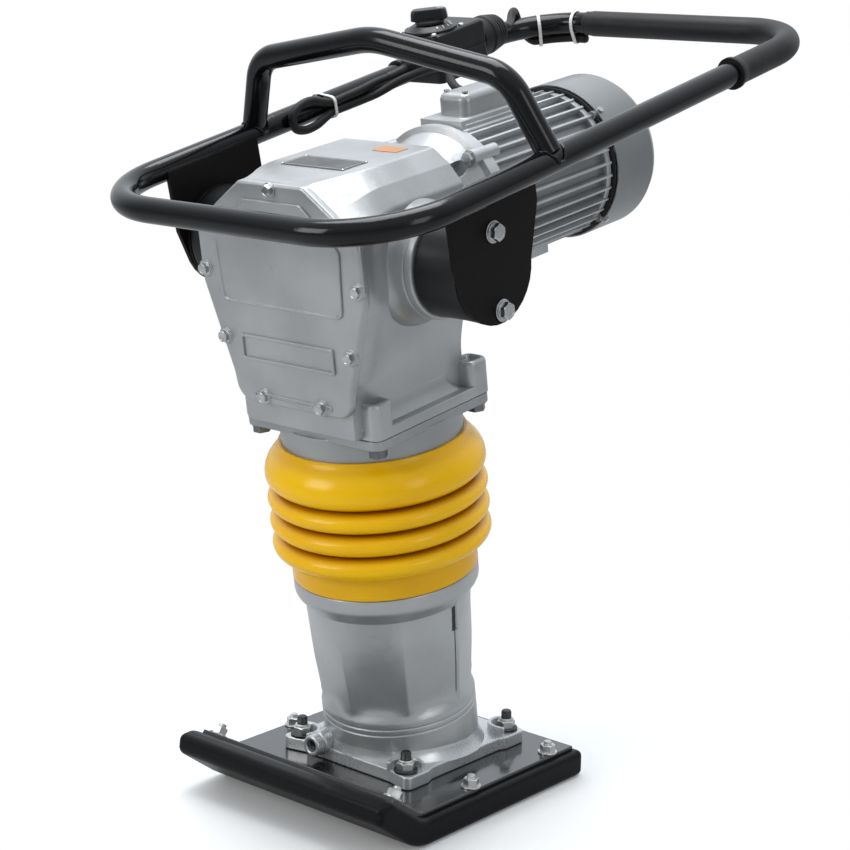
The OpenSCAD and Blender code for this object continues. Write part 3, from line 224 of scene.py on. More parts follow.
def blackPaint(name, **changes):
    look = {**blackLook, **changes}
    paint = Paint(name)
    cloud = paint.noise(16, 4)
    peel = paint.noise(look["peel"], 2)
    scuff = paint.noise(70, 6, 0.7, (1, 0.25, 1), (5, 2, 7)).ramp(0.63, 0.74)
    rim = paint.edges(look["corner"]) * paint.noise(190, 4).ramp(0.44, 0.6)
    dust = paint.noise(420, 5, 0.7).ramp(0.5, 0.8) * look["dust"]
    body = (scuff * 0.35).blend(look["base"], look["worn"])
    body = (rim * 0.8).blend(body, look["worn"])
    body = dust.blend(body, look["dusty"])
    rough = cloud * 0.1 + scuff * 0.22 + rim * 0.15 + (look["rough"] - 0.04)
    height = paint.bump(peel, look["peelDepth"], 0.35, paint.round(look["corner"]))
    return paint.set(Base_Color=body, Metallic=0, Roughness=rough, Normal=height,
                     Specular_IOR_Level=look["gloss"], Coat_Weight=look["coat"], Coat_Roughness=0.08)


rubberLook = {"base": (0.0075, 0.0075, 0.0082), "pale": (0.024, 0.024, 0.026), "rough": 0.46,
              "grain": 900, "grainDepth": 0.00022, "gloss": 0.3}


def rubber(name, **changes):
    look = {**rubberLook, **changes}
    paint = Paint(name)
    cloud = paint.noise(20, 4)
    grain = paint.noise(look["grain"], 4, 0.65)
    bloom = paint.noise(48, 5, 0.6, offset=(9, 4, 1)).ramp(0.48, 0.76)
    body = (bloom * 0.55).blend(look["base"], look["pale"])
    rough = cloud * 0.14 + grain * 0.1 + (look["rough"] - 0.08)
    return paint.set(Base_Color=body, Roughness=rough, Normal=paint.bump(grain, look["grainDepth"], 0.5),
                     Specular_IOR_Level=look["gloss"])


# The bellows' own mesh says how far into a groove each point is; that share paints shade into the grooves,
# and more weakly onto the cuffs
yellowLook = {"base": (1, 0.575, 0.002), "warm": (0.97, 0.525, 0.001), "deep": (0.34, 0.085, 0.001),
              "speck": (0.35, 0.19, 0.03), "rough": 0.16, "gloss": 0.22}


def yellowRubber(name):
    look = yellowLook
    paint = Paint(name)
    groove = paint.node("ShaderNodeAttribute", {"attribute_name": "groove"}, {}, "Fac")
    cloud = paint.noise(14, 4)
    grain = paint.noise(700, 3, 0.6)
    body = cloud.ramp(0.3, 0.7).blend(look["base"], look["warm"])
    # Painted shade in the grooves, weaker on the cuffs
    body = (groove.ramp(0.15, 0.85) * (cloud * 0.3 + 0.72)).blend(body, look["deep"])
    body = (paint.noise(160, 5, 0.7).ramp(0.66, 0.76) * 0.22).blend(body, look["speck"])
    rough = cloud * 0.12 + groove * 0.14 + look["rough"]
    return paint.set(Base_Color=body, Roughness=rough, Coat_Weight=0.1, Coat_Roughness=0.1,
                     Normal=paint.bump(grain, 0.00012, 0.4), Specular_IOR_Level=look["gloss"])


metalLook = {"metal": 1, "streak": (1, 1, 1), "stain": (0.36, 0.34, 0.31), "stainShare": 0.3,
             "rubbed": (0.8, 0.8, 0.8), "corner": 0.0006}


def bareMetal(name, base, rough, **changes):
    look = {**metalLook, **changes}
    paint = Paint(name)
    cloud = paint.noise(60, 4)
    lines = paint.noise(900, 3, 0.6, look["streak"])
    spots = paint.noise(240, 5, 0.65, offset=(2, 8, 5)).ramp(0.56, 0.74)
    body = cloud.ramp(0.3, 0.7).blend(base, tuple(channel * 0.72 for channel in base))
    body = (spots * look["stainShare"]).blend(body, look["stain"])
    body = (paint.edges(look["corner"]) * 0.5).blend(body, look["rubbed"])
    height = paint.bump(lines, 0.00008, 0.5, paint.round(look["corner"]))
    return paint.set(Base_Color=body, Metallic=look["metal"], Normal=height,
                     Roughness=lines * 0.16 + cloud * 0.1 + (rough - 0.1))


plasticLook = {"grain": 1400, "depth": 0.00012, "corner": 0.0008, "gloss": 0.32}


def plastic(name, base, pale, rough):
    look = plasticLook
    paint = Paint(name)
    cloud = paint.noise(26, 4)
    fine = paint.noise(look["grain"], 3, 0.6)
    rub = paint.noise(90, 5, 0.65, offset=(1, 6, 3)).ramp(0.58, 0.76)
    rim = paint.edges(look["corner"]) * paint.noise(170, 3).ramp(0.42, 0.6)
    body = (rub * 0.35 + rim * 0.4).blend(base, pale)
    return paint.set(Base_Color=body, Roughness=cloud * 0.1 + fine * 0.1 + (rough - 0.06),
                     Normal=paint.bump(fine, look["depth"], 0.5, paint.round(look["corner"])),
                     Specular_IOR_Level=look["gloss"])


castSilver = castPaint("cast_silver")
legSilver = castPaint("leg_silver", base=(0.42, 0.434, 0.442), light=(0.5, 0.514, 0.522), rough=0.33)
# A lighter copy of the cast silver for the flange, skirt and drain: painted light where the overhead light
# falls bright on the foot; its lower roughness is real
litFootSilver = castPaint("foot_silver_lit", base=(0.5, 0.516, 0.525), light=(0.61, 0.626, 0.635), rough=0.26)
motorLook = {"base": (0.43, 0.442, 0.45), "light": (0.54, 0.552, 0.562), "sandDepth": 0.00022,
             "corner": 0.0008}
motorSilver = castPaint("motor_silver", **motorLook)
# The motor silver with painted shade in the grooves between its fins
shadedFinSilver = castPaint("fin_silver_shaded", **motorLook, deep=(0.13, 0.135, 0.142))
sheetSilver = castPaint("sheet_silver", base=(0.2, 0.208, 0.21), light=(0.24, 0.248, 0.25),
                        sandDepth=0.00006, waveDepth=0.0003, rough=0.32, metal=0.5)
ringSilver = castPaint("ring_silver", base=(0.31, 0.322, 0.326), light=(0.37, 0.382, 0.386))
tubeBlack = blackPaint("tube_black")
plateBlack = blackPaint("plate_black", base=(0.006, 0.0054, 0.0048), rough=0.42, peelDepth=0.0003,
                        corner=0.0012, gloss=0.1)
footBlack = blackPaint("foot_black", base=(0.0036, 0.004, 0.0046), rough=0.3, dust=0.03, corner=0.0022,
                       peelDepth=0.0004, worn=(0.045, 0.047, 0.05), gloss=0.14)
sheetBlack = blackPaint("sheet_black", base=(0.006, 0.007, 0.009), rough=0.16, coat=0.5, dust=0.12,
                        peelDepth=0.0002, worn=(0.09, 0.094, 0.1), gloss=0.6)
mountRubber = rubber("mount_rubber", rough=0.32, base=(0.0042, 0.0048, 0.0062), pale=(0.012, 0.013, 0.015))
gripRubber = rubber("grip_rubber", rough=0.42, grain=1100, grainDepth=0.0003)
leadRubber = rubber("lead_rubber", rough=0.5, grain=1300)
# Dark grey rubber for the stop ring, also used as painted shade in the leg's slot and seam
gasketAndShadeGrey = rubber("gasket_and_shade_grey", base=(0.045, 0.045, 0.047), pale=(0.09, 0.09, 0.09), rough=0.7)
bellowsYellow = yellowRubber("bellows_yellow")
zinc = bareMetal("zinc_bolts", (0.58, 0.59, 0.6), 0.27)
dullZinc = bareMetal("dull_zinc", (0.2, 0.205, 0.21), 0.34)
nutZinc = bareMetal("nut_zinc", (0.62, 0.63, 0.62), 0.3, stain=(0.3, 0.25, 0.18), stainShare=0.4)
darkSteel = bareMetal("dark_steel", (0.055, 0.056, 0.06), 0.36, stain=(0.12, 0.1, 0.08))
machined = bareMetal("machined_steel", (0.5, 0.51, 0.52), 0.24, streak=(1, 1, 6))
gearSteel = bareMetal("gear_steel", (0.3, 0.31, 0.33), 0.3, stain=(0.1, 0.08, 0.05))
springSteel = bareMetal("spring_steel", (0.13, 0.14, 0.16), 0.34)
bronze = bareMetal("bronze", (0.62, 0.4, 0.17), 0.3, stain=(0.28, 0.16, 0.07))
copper = bareMetal("winding_copper", (0.66, 0.28, 0.12), 0.36, streak=(8, 1, 8), stain=(0.25, 0.09, 0.04))
plateDark = bareMetal("plate_dark", (0.105, 0.108, 0.106), 0.32, metal=0.8, streak=(1, 14, 1))
plateRim = bareMetal("plate_rim", (0.58, 0.58, 0.57), 0.3)
caseBlack = plastic("case_black", (0.012, 0.0125, 0.0135), (0.05, 0.05, 0.052), 0.36)
knobBlack = plastic("knob_black", (0.01, 0.01, 0.011), (0.045, 0.045, 0.047), 0.3)
fanBlack = plastic("fan_black", (0.018, 0.018, 0.019), (0.06, 0.06, 0.06), 0.5)
nylonWhite = plastic("nylon_white", (0.72, 0.72, 0.69), (0.55, 0.54, 0.5), 0.4)
labelOrange = plastic("label_orange", (0.62, 0.265, 0.105), (0.52, 0.3, 0.18), 0.4)
print("stage: materials")


# Mesh code, all in millimetres of one of the places above
def clamp(value):
    return max(0, min(1, value))


def turns(count):
    return [2 * pi * j / count for j in range(count)]


def circle(radius, angle, middle=(0, 0)):
    return middle[0] + radius * cos(angle), middle[1] + radius * sin(angle)


def arc(middle, radius, start, end, count):
    return [circle(radius, radians(start + (end - start) * i / count), middle) for i in range(count + 1)]


def fillet(before, corner, after, radius, count):
    first = (before - corner).normalized()
    second = (after - corner).normalized()
    half = acos(max(-1, min(1, first.dot(second)))) / 2
    centre = corner + (first + second).normalized() * radius / sin(half)
    start = corner + first * radius / tan(half) - centre
    end = corner + second * radius / tan(half) - centre
    angle = atan2(start.y, start.x)
    turn = (atan2(end.y, end.x) - angle + pi) % (2 * pi) - pi
    return [centre + radius * Vector(circle(1, angle + turn * i / count)) for i in range(count + 1)]


def rounded(points, radius, count=6):
    flat = [Vector(point) for point in points]
    radii = radius if isinstance(radius, list) else [radius] * len(flat)
    made = []
    for i, corner in enumerate(flat):
        made += fillet(flat[i - 1], corner, flat[(i + 1) % len(flat)], radii[i], count)
    return made


def shrunk(points, by):
    flat = [Vector(point) for point in points]
    area = sum(flat[i - 1].x * flat[i].y - flat[i].x * flat[i - 1].y for i in range(len(flat)))
    made = []
    for i, point in enumerate(flat):
        side = (flat[(i + 1) % len(flat)] - flat[i - 1]).normalized()
        made.append(point + Vector((-side.y, side.x)) * copysign(by, area))
    return made


def bothSides(half):
    return half + [(-x, h) for x, h in reversed(half)]


def boxPoints(x, y, middle=(0, 0)):
    return [(middle[0] + sx * x, middle[1] + sy * y) for sx, sy in ((1, -1), (1, 1), (-1, 1), (-1, -1))]


def roundBox(x, y, radius, middle=(0, 0), count=6):
    return rounded(boxPoints(x, y, middle), radius, count)


def along(axis, a, b, height):
    return {"w": (a, b, height), "v": (a, height, b), "x": (height, a, b)}[axis]


def loft(rings, closed=False):
    size = len(rings[0])
    verts = [tuple(point) for ring in rings for point in ring]
    faces = []
    for i in range(len(rings) - (0 if closed else 1)):
        a, b = i * size, (i + 1) % len(rings) * size
        faces += [(a + j, a + (j + 1) % size, b + (j + 1) % size, b + j) for j in range(size)]
    if not closed:
        faces += [tuple(range(size)), tuple((len(rings) - 1) * size + j for j in range(size))]
    return verts, faces


# A loft through flat outlines, each given with its height
def stack(levels, axis="w", closed=False):
    return loft([[along(axis, p[0], p[1], height) for p in outline] for outline, height in levels], closed)


def prism(outline, low, high, axis="w"):
    return stack([(outline, low), (outline, high)], axis)


def frameBand(outer, inner, low, high, axis="w"):
    return stack([(outer, low), (outer, high), (inner, high), (inner, low)], axis, True)


# Shares of height and of width for a skirt that flares towards its foot
def flare(curve):
    return [(i / 8, (1 - sin(i / 8 * pi / 2)) ** curve) for i in range(9)]


# A slab with square edges at its back and a round edge at its face
def slab(outline, back, face, edge, axis="w", steps=6):
    levels = [(outline, back)]
    for i in range(steps + 1):
        turn = i / steps * pi / 2
        height = face + copysign(edge * (1 - sin(turn)), back - face)
        levels.append((shrunk(outline, edge * (1 - cos(turn))), height))
    return stack(levels, axis)


def lathe(profile, axis="w", middle=(0, 0), steps=96, closed=False, shape=None):
    levels = []
    for radius, height in profile:
        reach = [radius * (shape(a, height) if shape else 1) for a in turns(steps)]
        levels.append(([circle(r, a, middle) for r, a in zip(reach, turns(steps))], height))
    return stack(levels, axis, closed)


def moved(part, place):
    return [tuple(place @ Vector(v)) for v in part[0]], part[1]


def joined(parts):
    verts, faces = [], []
    for partVerts, partFaces in parts:
        base = len(verts)
        verts += partVerts
        faces += [tuple(base + i for i in face) for face in partFaces]
    return verts, faces


def smoothed(points, steps):
    line = [Vector(point) for point in points]
    made = []
    for i in range(len(line) - 1):
        a, b, c, d = line[max(i - 1, 0)], line[i], line[i + 1], line[min(i + 2, len(line) - 1)]
        for j in range(steps):
            t = j / steps
            made.append(0.5 * (2 * b + (c - a) * t + (2 * a - 5 * b + 4 * c - d) * t * t
                               + (3 * b - a - 3 * c + d) * t * t * t))
    return made + [line[-1]]


def sweep(points, radii, sides, normal=(0, 0, 1)):
    line = [Vector(point) for point in points]
    if not isinstance(radii, list):
        radii = [radii] * len(line)
    side = Vector(normal)
    rings = []
    for i, point in enumerate(line):
        ahead, behind = line[min(i + 1, len(line) - 1)], line[max(i - 1, 0)]
        tangent = (ahead - behind).normalized()
        side = (side - tangent * side.dot(tangent)).normalized()
        other = tangent.cross(side)
        rings.append([point + radii[i] * (side * cos(a) + other * sin(a)) for a in turns(sides)])
    return loft(rings)


# A mesh in the place of its body. A piece with no body gives its place instead, and is not attached.
def piece(name, part, paint, body, *stands, place=None, bevel=0, segments=3, limit=35, sharp=32):
    verts, faces = part
    place = placeOf[body] if body else place
    mesh = bpy.data.meshes.new(name)
    mesh.from_pydata([place @ (Vector(v) * mm) for v in verts], [], faces)
    work = bmesh.new()
    work.from_mesh(mesh)
    bmesh.ops.recalc_face_normals(work, faces=work.faces)
    work.to_mesh(mesh)
    work.free()
    for face in mesh.polygons:
        face.use_smooth = True
    mesh.materials.append(paint)
    made = added(name, mesh)
    if bevel:
        edge = made.modifiers.new("bevel", "BEVEL")
        edge.width = bevel * mm
        edge.segments = segments
        edge.limit_method = "ANGLE"
        edge.angle_limit = radians(limit)
    else:
        mesh.set_sharp_from_angle(angle=radians(sharp))
    made.modifiers.new("normals", "WEIGHTED_NORMAL").keep_sharp = True
    if body:
        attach(made, body)
    if stands:
        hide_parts(*stands)
    return made


# A hexagon head or nut with chamfered corners, drawn up the local z axis
def hexagon(radius, height, bore=0):
    flat = radius * cos(pi / 6)
    face = flat * 0.94
    slope = 0.55
    around = turns(48)
    reach = [flat / cos((a + pi / 6) % (pi / 3) - pi / 6) for a in around]

    def level(radius, up):
        return [(*circle(radius, a), up) for a in around]

    rings = [level(bore, 0)] if bore else []
    rings.append([(*circle(r, a), 0) for r, a in zip(reach, around)])
    rings.append([(*circle(r, a), height - (r - face) * slope) for r, a in zip(reach, around)])
    rings.append(level(face, height))
    if bore:
        return loft(rings + [level(bore, height - 0.8)], True)
    return loft(rings + [level(face * 0.8, height), level(face * 0.74, height - 0.35)])


def washer(radius, bore, thick):
    return lathe([(bore, 0), (radius - 0.4, 0), (radius, 0.4), (radius, thick - 0.4), (radius - 0.4, thick),
                  (bore, thick)], steps=48, closed=True)


# A washer with a hexagon on it, turned by an angle in radians
def fastener(place, ring, head, turn):
    onRing = place @ at(0, 0, ring[2]) @ Matrix.Rotation(turn, 4, "Z")
    return [moved(washer(*ring), place), moved(hexagon(*head), onRing)]


# A set of such bolts at the given places, each turned a little further, on a plain shank
def boltSet(size, places):
    parts = []
    for i, place in enumerate(places):
        parts += fastener(place, size["washer"], size["head"], size["turn"] * i)
        parts.append(moved(lathe(size["shank"], steps=24), place))
    return joined(parts)


def thread(radius, low, high, pitch=1.5):
    profile = [(radius - 0.4, low)]
    for i in range(int((high - low - 1.5) / pitch)):
        profile += [(radius, low + (i + 0.5) * pitch), (radius - 0.55, low + (i + 1) * pitch)]
    return lathe(profile + [(radius - 0.5, high - 1), (radius - 1.5, high)], steps=32)


# CAD nodes whose shape is right keep it, and get their finish here
finishes = {
    plateBlack: ["side_brackets", "mount_plates"],
    tubeBlack: ["handle_loop"],
    motorSilver: ["motor_shield", "rear_shield"],
    shadedFinSilver: ["motor_frame"],
    sheetSilver: ["fan_cover"],
    ringSilver: ["guide_cylinder", "cover_gasket"],
    dullZinc: ["flange_bolts"],
    zinc: ["shield_bolts", "fan_cover_screws", "terminal_screws"],
    machined: ["piston_rod", "crosshead", "spring_tube", "wrist_pin", "crank_pin", "rotor_shaft",
               "crank_bearings", "rotor_bearings", "rotor_core"],
    gearSteel: ["crank_gear", "crank_web", "connecting_rod", "spring_cap", "spring_piston"],
    springSteel: ["lower_spring", "upper_spring"],
    bronze: ["guide_bush", "rod_bearing"],
    copper: ["stator"],
    gasketAndShadeGrey: ["stop_ring"],
    fanBlack: ["cooling_fan"],
    nylonWhite: ["zip_ties"],
}
for finish, names in finishes.items():
    for name in names:
        for slot in nodes[name].material_slots:
            slot.material = finish
print("stage: kept nodes")


# Leads: the routes of the CAD source, in the handle's frame.
handleSize = {"railX": 207.5, "railT": 93, "tube": 13.5, "rearU": 584, "rearBend": 87}
leadSize = {"radius": 5, "gap": 0.3, "gland": (250, 735), "free": (-170, 262, 98), "steps": 8, "sides": 20}
capSize = {"back": (17, 16, 8, 3, 1, 0), "radii": [5.3, 5.8, 5.9, 5.6, 4.6, 2]}
reliefSize = {"points": 28, "start": 9, "taper": 3.6, "curve": 0.8, "sides": 32}
railX, railT = handleSize["railX"], handleSize["railT"]
underBar = handleSize["tube"] + leadSize["radius"] + leadSize["gap"]
sideX = underBar - railX
bendX = railX - handleSize["rearBend"]
bendU = handleSize["rearU"] - handleSize["rearBend"]


def atGland(x):
    tilt = radians(handleTilt)
    dv, dw = leadSize["gland"][0] - trunnion[0], leadSize["gland"][1] - trunnion[1]
    return (x, dv * cos(tilt) + dw * sin(tilt), dw * cos(tilt) - dv * sin(tilt))


def cornerPoint(angle, out, up=0):
    a = radians(angle)
    reach = handleSize["rearBend"] + out
    return (-bendX - reach * cos(a), bendU + reach * sin(a), railT + up)


def roundBar(angle, turn, far):
    t = radians(turn)
    return cornerPoint(angle, far * sin(t), far * cos(t))


railRoute = [(261, 101), (232, 99.2), (204, 98.6), (182, 98.4), (164, 104), (148, 109.5), (130, 108.5),
             (118, 102), (115, 93), (120, 84), (134, 79.5), (152, 80), (168, 84.5), (182, 87.6), (205, 87.6),
             (232, 87.4)]
motorRoute = [(-176, 306.7, 106), (-176, 302, 106), (-176, 296, 106), (-183, 281, 103)]
motorRoute += [(sideX, u, t) for u, t in railRoute]
motorRoute += [(-184, 256, 89.5), (-168, 280, 99), (-142, 296, 108), (-115, 296, 113), (-92, 282, 112),
               (-76, 264, 108), (-58, 252, 103.5), atGland(-43), atGland(-31), atGland(-18)]
barRoute = [(14, -50, 28), (24, -15, 24), (31, 25, 23), (35, 75, 21), (38, 125, 20), (42, 168, underBar)]
barRoute += [(angle, 180, underBar) for angle in (48, 58, 70, 80)] + [(90, 180, underBar + 1)]
supplyRoute = [(-155, 407, 117), (-155, 445, 117), (-156, 465, 117), (-163, 482, 113)]
supplyRoute += [roundBar(*stop) for stop in barRoute]


def makeLeads():
    radius, sides = leadSize["radius"], leadSize["sides"]
    motorLine = smoothed(motorRoute, leadSize["steps"])
    motorLead = piece("motor_lead_cable", sweep(motorLine, radius, sides), leadRubber, None, "motor_lead",
                      place=onHandle)
    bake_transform(motorLead)
    supplyLine = smoothed(supplyRoute, leadSize["steps"])
    way = (supplyLine[-1] - supplyLine[-9]).normalized()
    cap = sweep([supplyLine[-1] - way * back for back in capSize["back"]], capSize["radii"], sides)
    piece("supply_lead_cable", joined([sweep(supplyLine[:-2], radius, sides), cap]), leadRubber,
          "handle", "supply_lead")
    line = motorLine[:reliefSize["points"]:2]
    radii = [reliefSize["start"] - reliefSize["taper"] * (i / (len(line) - 1)) ** reliefSize["curve"]
             for i in range(len(line))]
    piece("lead_relief", sweep(line, radii, reliefSize["sides"]), gripRubber, "handle", sharp=50)


makeLeads()
print("stage: leads")


# Bellows: a thin moulded skin with soft round ridges. The valley under the wide top ridge sits a little
# lower.
bellowsSize = {"ridge": 120.5, "groove": 107, "wall": 3, "cuff": 102.3, "low": 262, "top": 418,
               "ridges": [302.5, 328.5, 354.5, 383.5], "shift": [0, 0, -2], "curve": 2.1, "full": 0.78,
               "topFull": 0.92, "sides": 128, "fixed": 285, "free": 405, "cuffShadeShare": 0.36}


def bellowsProfile():
    size = bellowsSize
    ridges, cuff, low, top = (size[key] for key in ("ridges", "cuff", "low", "top"))
    made = [(cuff - 0.4, low), (cuff + 0.3, low + 0.6)] + [(cuff + 0.3, low + 4 * i) for i in range(1, 5)]
    valleys = [(cuff + 0.3, ridges[0] - 16.5)]
    valleys += [(size["groove"] - 0.6, (ridges[i] + ridges[i + 1]) / 2 + size["shift"][i]) for i in range(3)]
    valleys += [(cuff + 0.6, top - 5)]
    for i, ridge in enumerate(ridges):
        for (base, height), above in ((valleys[i], False), (valleys[i + 1], True)):
            full = size["topFull"] if above and i == 3 else size["full"]
            for k in range(12):
                t = (k + (1 if k else 0.4)) / 13 if above else 1 - k / 12
                share = max(0, 1 - t ** size["curve"]) ** full
                made.append((base + (size["ridge"] - base) * share, ridge + (height - ridge) * t))
    return made + [(cuff + 0.3, top - 3), (cuff, top)]


def makeBellows():
    size = bellowsSize
    outer = bellowsProfile()
    profile = outer + [(r - size["wall"], w) for r, w in reversed(outer)]
    skin = lathe(profile, steps=size["sides"], closed=True)
    made = piece("bellows_skin", skin, bellowsYellow, None, "bellows", place=onLeg, sharp=60)
    depth = made.data.attributes.new("groove", "FLOAT", "POINT")
    values = []
    # How far into a groove each point lies, as a share of painted shade; the cuffs get a smaller share of it
    for r, w in profile:
        near = clamp((size["ridge"] - r) / (size["ridge"] - size["groove"]))
        onCuff = w < size["ridges"][0] or w > size["ridges"][-1]
        values += [near * (size["cuffShadeShare"] if onCuff else 1)] * size["sides"]
    depth.data.foreach_set("value", values)
    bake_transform(made)


makeBellows()
print("stage: bellows")


# Leg casting: root ring with parting lines, eight soft facets, a slot and a seam at each side, collar
legSize = {"root": 87, "waist": 83, "neck": 92, "collar": 102.4, "seat": 99, "cuff": 262,
           "top": 286, "bore": 78, "plateTop": 35, "flange": 15, "boltX": 78, "boltY": 87,
           "lines": (91.6, 98.6), "sides": 384}
facetSize = {"turn": 0.09, "low": 112, "lowFade": 8, "high": 234, "highFade": 70, "depth": 0.9, "mean": 0.955}
seamSize = {"turn": 0.05, "low": 118, "high": 232, "blur": 0.012, "half": 0.016, "depth": 0.012,
            "wideLow": 200, "wideHigh": 229, "wideHalf": 0.05, "wideDepth": 0.036}


def legRadius(height):
    return legSize["waist"] + (legSize["neck"] - legSize["waist"]) * (height - 128) / 102


def facet(angle, height):
    size = facetSize
    step = pi / 4
    edge = cos(step / 2) / cos((angle - size["turn"]) % step - step / 2)
    fade = clamp((height - size["low"]) / size["lowFade"]) * clamp((size["high"] - height) / size["highFade"])
    return 1 + fade * (edge - size["mean"]) * size["depth"]


def legFacets(angle, height):
    size = seamSize
    if not size["low"] < height < size["high"]:
        return facet(angle, height)
    side = abs((angle - size["turn"] + pi / 2) % pi - pi / 2)
    wide = size["wideLow"] < height < size["wideHigh"]
    half, depth = size["wideHalf" if wide else "half"], size["wideDepth" if wide else "depth"]
    return facet(angle, height) - clamp((half - side) / size["blur"]) * depth


def makeLeg():
    root, waist, neck, collar, cuff = (legSize[key] for key in ("root", "waist", "neck", "collar", "cuff"))
    inside = legSize["bore"] + 0.2
    profile = [(inside, 34), (root, 34), (root, 84)]
    for low in legSize["lines"]:
        profile += [(root, low), (root - 1, low + 0.9), (root - 1, low + 1.8), (root, low + 2.7)]
    profile += [(root, 106), (root - 0.7, 108.6), (root - 2.4, 112), (waist + 0.4, 116.5), (waist, 122),
                (waist, 128)]
    heights = [138, 148, 158, 168, 178, 188, 196, 199.8, 200.2, 201, 210, 220, 228, 228.8, 229.2, 230.5]
    profile += [(legRadius(h), h) for h in heights]
    profile += [(neck + 1.4, 231.5), (collar - 6.5, 236), (collar - 2.2, 241), (collar - 0.4, 245),
                (collar, 248), (collar, cuff - 2.4), (collar - 1, cuff - 1), (legSize["seat"], cuff - 0.9),
                (legSize["seat"], legSize["top"]), (inside, legSize["top"])]
    return moved(lathe(profile, closed=True, steps=legSize["sides"], shape=legFacets), onLegMm)


# Painted shade: a dark floor laid in the slot or seam on the right, where shade falls
def seamShadeFloor(low, high, half, depth):
    rings = []
    turn = seamSize["turn"]
    for height in (low, (low + high) / 2, high):
        radius = legRadius(height)
        reach = radius * (facet(turn, height) - depth)
        rings.append([(*circle(reach, turn + half * k), height) for k in (-1, 0, 1)]
                     + [(*circle(radius * 0.9, turn), height)])
    return moved(loft(rings), onLegMm)


# The flange stands level on the foot, with a flared skirt up to the leaning leg and walls round its bolts
skirtSize = {"low": 48, "rise": 20, "x": 86.8, "flareX": 9, "y": 87.6, "flareY": 5, "curve": 1.2}
flangePoints = bothSides([(62, -96), (95, -104), (95, -68), (91, -58), (91, 58), (95, 68), (95, 104),
                          (62, 96)])
boltWall = {"outer": 21.5, "inner": 16.8, "half": 78, "rise": 9}


def makeSkirt():
    size = skirtSize
    rings = []
    for t, grow in flare(size["curve"]):
        height = size["low"] + size["rise"] * t
        middle = legShift - height * tan(radians(legLean))
        x, y = size["x"] + size["flareX"] * grow, size["y"] + size["flareY"] * grow
        rings.append([(x * cos(a), middle + y * sin(a), height) for a in turns(128)])
    return loft(rings)


def makeFlange():
    top = legSize["plateTop"] + legSize["flange"]
    parts = [prism(rounded(flangePoints, 8, 5), legSize["plateTop"] + 0.1, top)]
    half = boltWall["half"]
    for sx, sy in corners:
        middle = (sx * legSize["boltX"], sy * legSize["boltY"])
        facing = degrees(atan2(-sy, -sx))
        outer = arc(middle, boltWall["outer"], facing - half, facing + half, 16)
        inner = arc(middle, boltWall["inner"], facing + half, facing - half, 16)
        parts.append(prism(outer + inner, top - 1, top + boltWall["rise"]))
    return joined(parts)


piece("leg_casting", makeLeg(), legSilver, "foot", "leg_housing", sharp=38)
# Dark floors in the slot and seam: painted shade
piece("leg_slot_shade", seamShadeFloor(200.6, 228.4, 0.044, 0.02), gasketAndShadeGrey, "foot", sharp=60)
piece("leg_seam_shade", seamShadeFloor(122, 200, 0.009, 0.006), gasketAndShadeGrey, "foot", sharp=60)
piece("leg_flange", makeFlange(), litFootSilver, "foot", bevel=1.8)
piece("leg_skirt", makeSkirt(), litFootSilver, "foot", sharp=60)
drainSize = {"place": (-40, -94, 54), "plug": (6.6, 13),
             "boss": [(7.4, -12), (7.4, 8.5), (11.5, 8.5), (13.4, 7), (13.8, 3), (13.8, -14)],
             "eye": [(7, 9), (7, 17.2), (7.6, 18.6), (9.4, 19.2), (11.2, 18.6), (12, 17), (12, 8)]}
drain = at(*drainSize["place"]) @ faceFront
piece("drain_boss", moved(lathe(drainSize["boss"], steps=48, closed=True), drain), litFootSilver, "foot",
      bevel=0.8)
piece("drain_eye", moved(lathe(drainSize["eye"], steps=64, closed=True), drain), litFootSilver, "foot",
      sharp=50)
piece("drain_plug_core", moved(hexagon(*drainSize["plug"]), drain), darkSteel, "foot", "drain_plug")
print("stage: leg")


# Sole slab with a blunt nose and rounded edges, under a slightly smaller bent plate
soleSize = {"half": 152.5, "heel": 138, "curl": 128, "turn": 36, "bend": 60, "run": 60,
            "crest": 67, "nose": 19, "slab": 30, "plate": 5, "plateRun": 44, "heelInset": 9,
            "sideInset": 9.5}


# A point of the toe's bend, so far off the underside, at a share of the bend or a run beyond it
def toePoint(off, share, run=0):
    size = soleSize
    turn = radians(size["turn"] * share)
    y = -size["curl"] - (size["bend"] - off) * sin(turn) - run * cos(turn)
    return (y, size["bend"] - (size["bend"] - off) * cos(turn) + run * sin(turn))


def toeBend(off):
    return [toePoint(off, i / 10) for i in range(11)]


def makeSole():
    half, heel, slab, crest = (soleSize[key] for key in ("half", "heel", "slab", "crest"))
    under = toeBend(0) + [toePoint(0, 1, soleSize["run"])]
    nose = (under[-1][0] + 3, under[-1][1] + soleSize["nose"])
    over = toeBend(slab)
    crestY = over[-1][0] - (crest - over[-1][1]) / tan(radians(soleSize["turn"]))
    outline = [(heel, 0)] + under + [nose, (crestY, crest)] + over[::-1] + [(heel, slab)]
    return prism(outline, -half, half, "x")


def makePlateSheet():
    size = soleSize
    low, high = size["slab"] - 1, size["slab"] + size["plate"]
    heel, half = size["heel"] - size["heelInset"], size["half"] - size["sideInset"]
    lower = toeBend(low) + [toePoint(low, 1, size["plateRun"])]
    upper = toeBend(high) + [toePoint(high, 1, size["plateRun"])]
    return prism([(heel, low)] + lower + upper[::-1] + [(heel, high)], -half, half, "x")


piece("sole_block", makeSole(), footBlack, "foot", "sole_slab", bevel=7, segments=6, limit=30)
piece("sole_sheet", makePlateSheet(), sheetBlack, "foot", "shoe_plate", bevel=1.5, limit=40)
print("stage: sole")


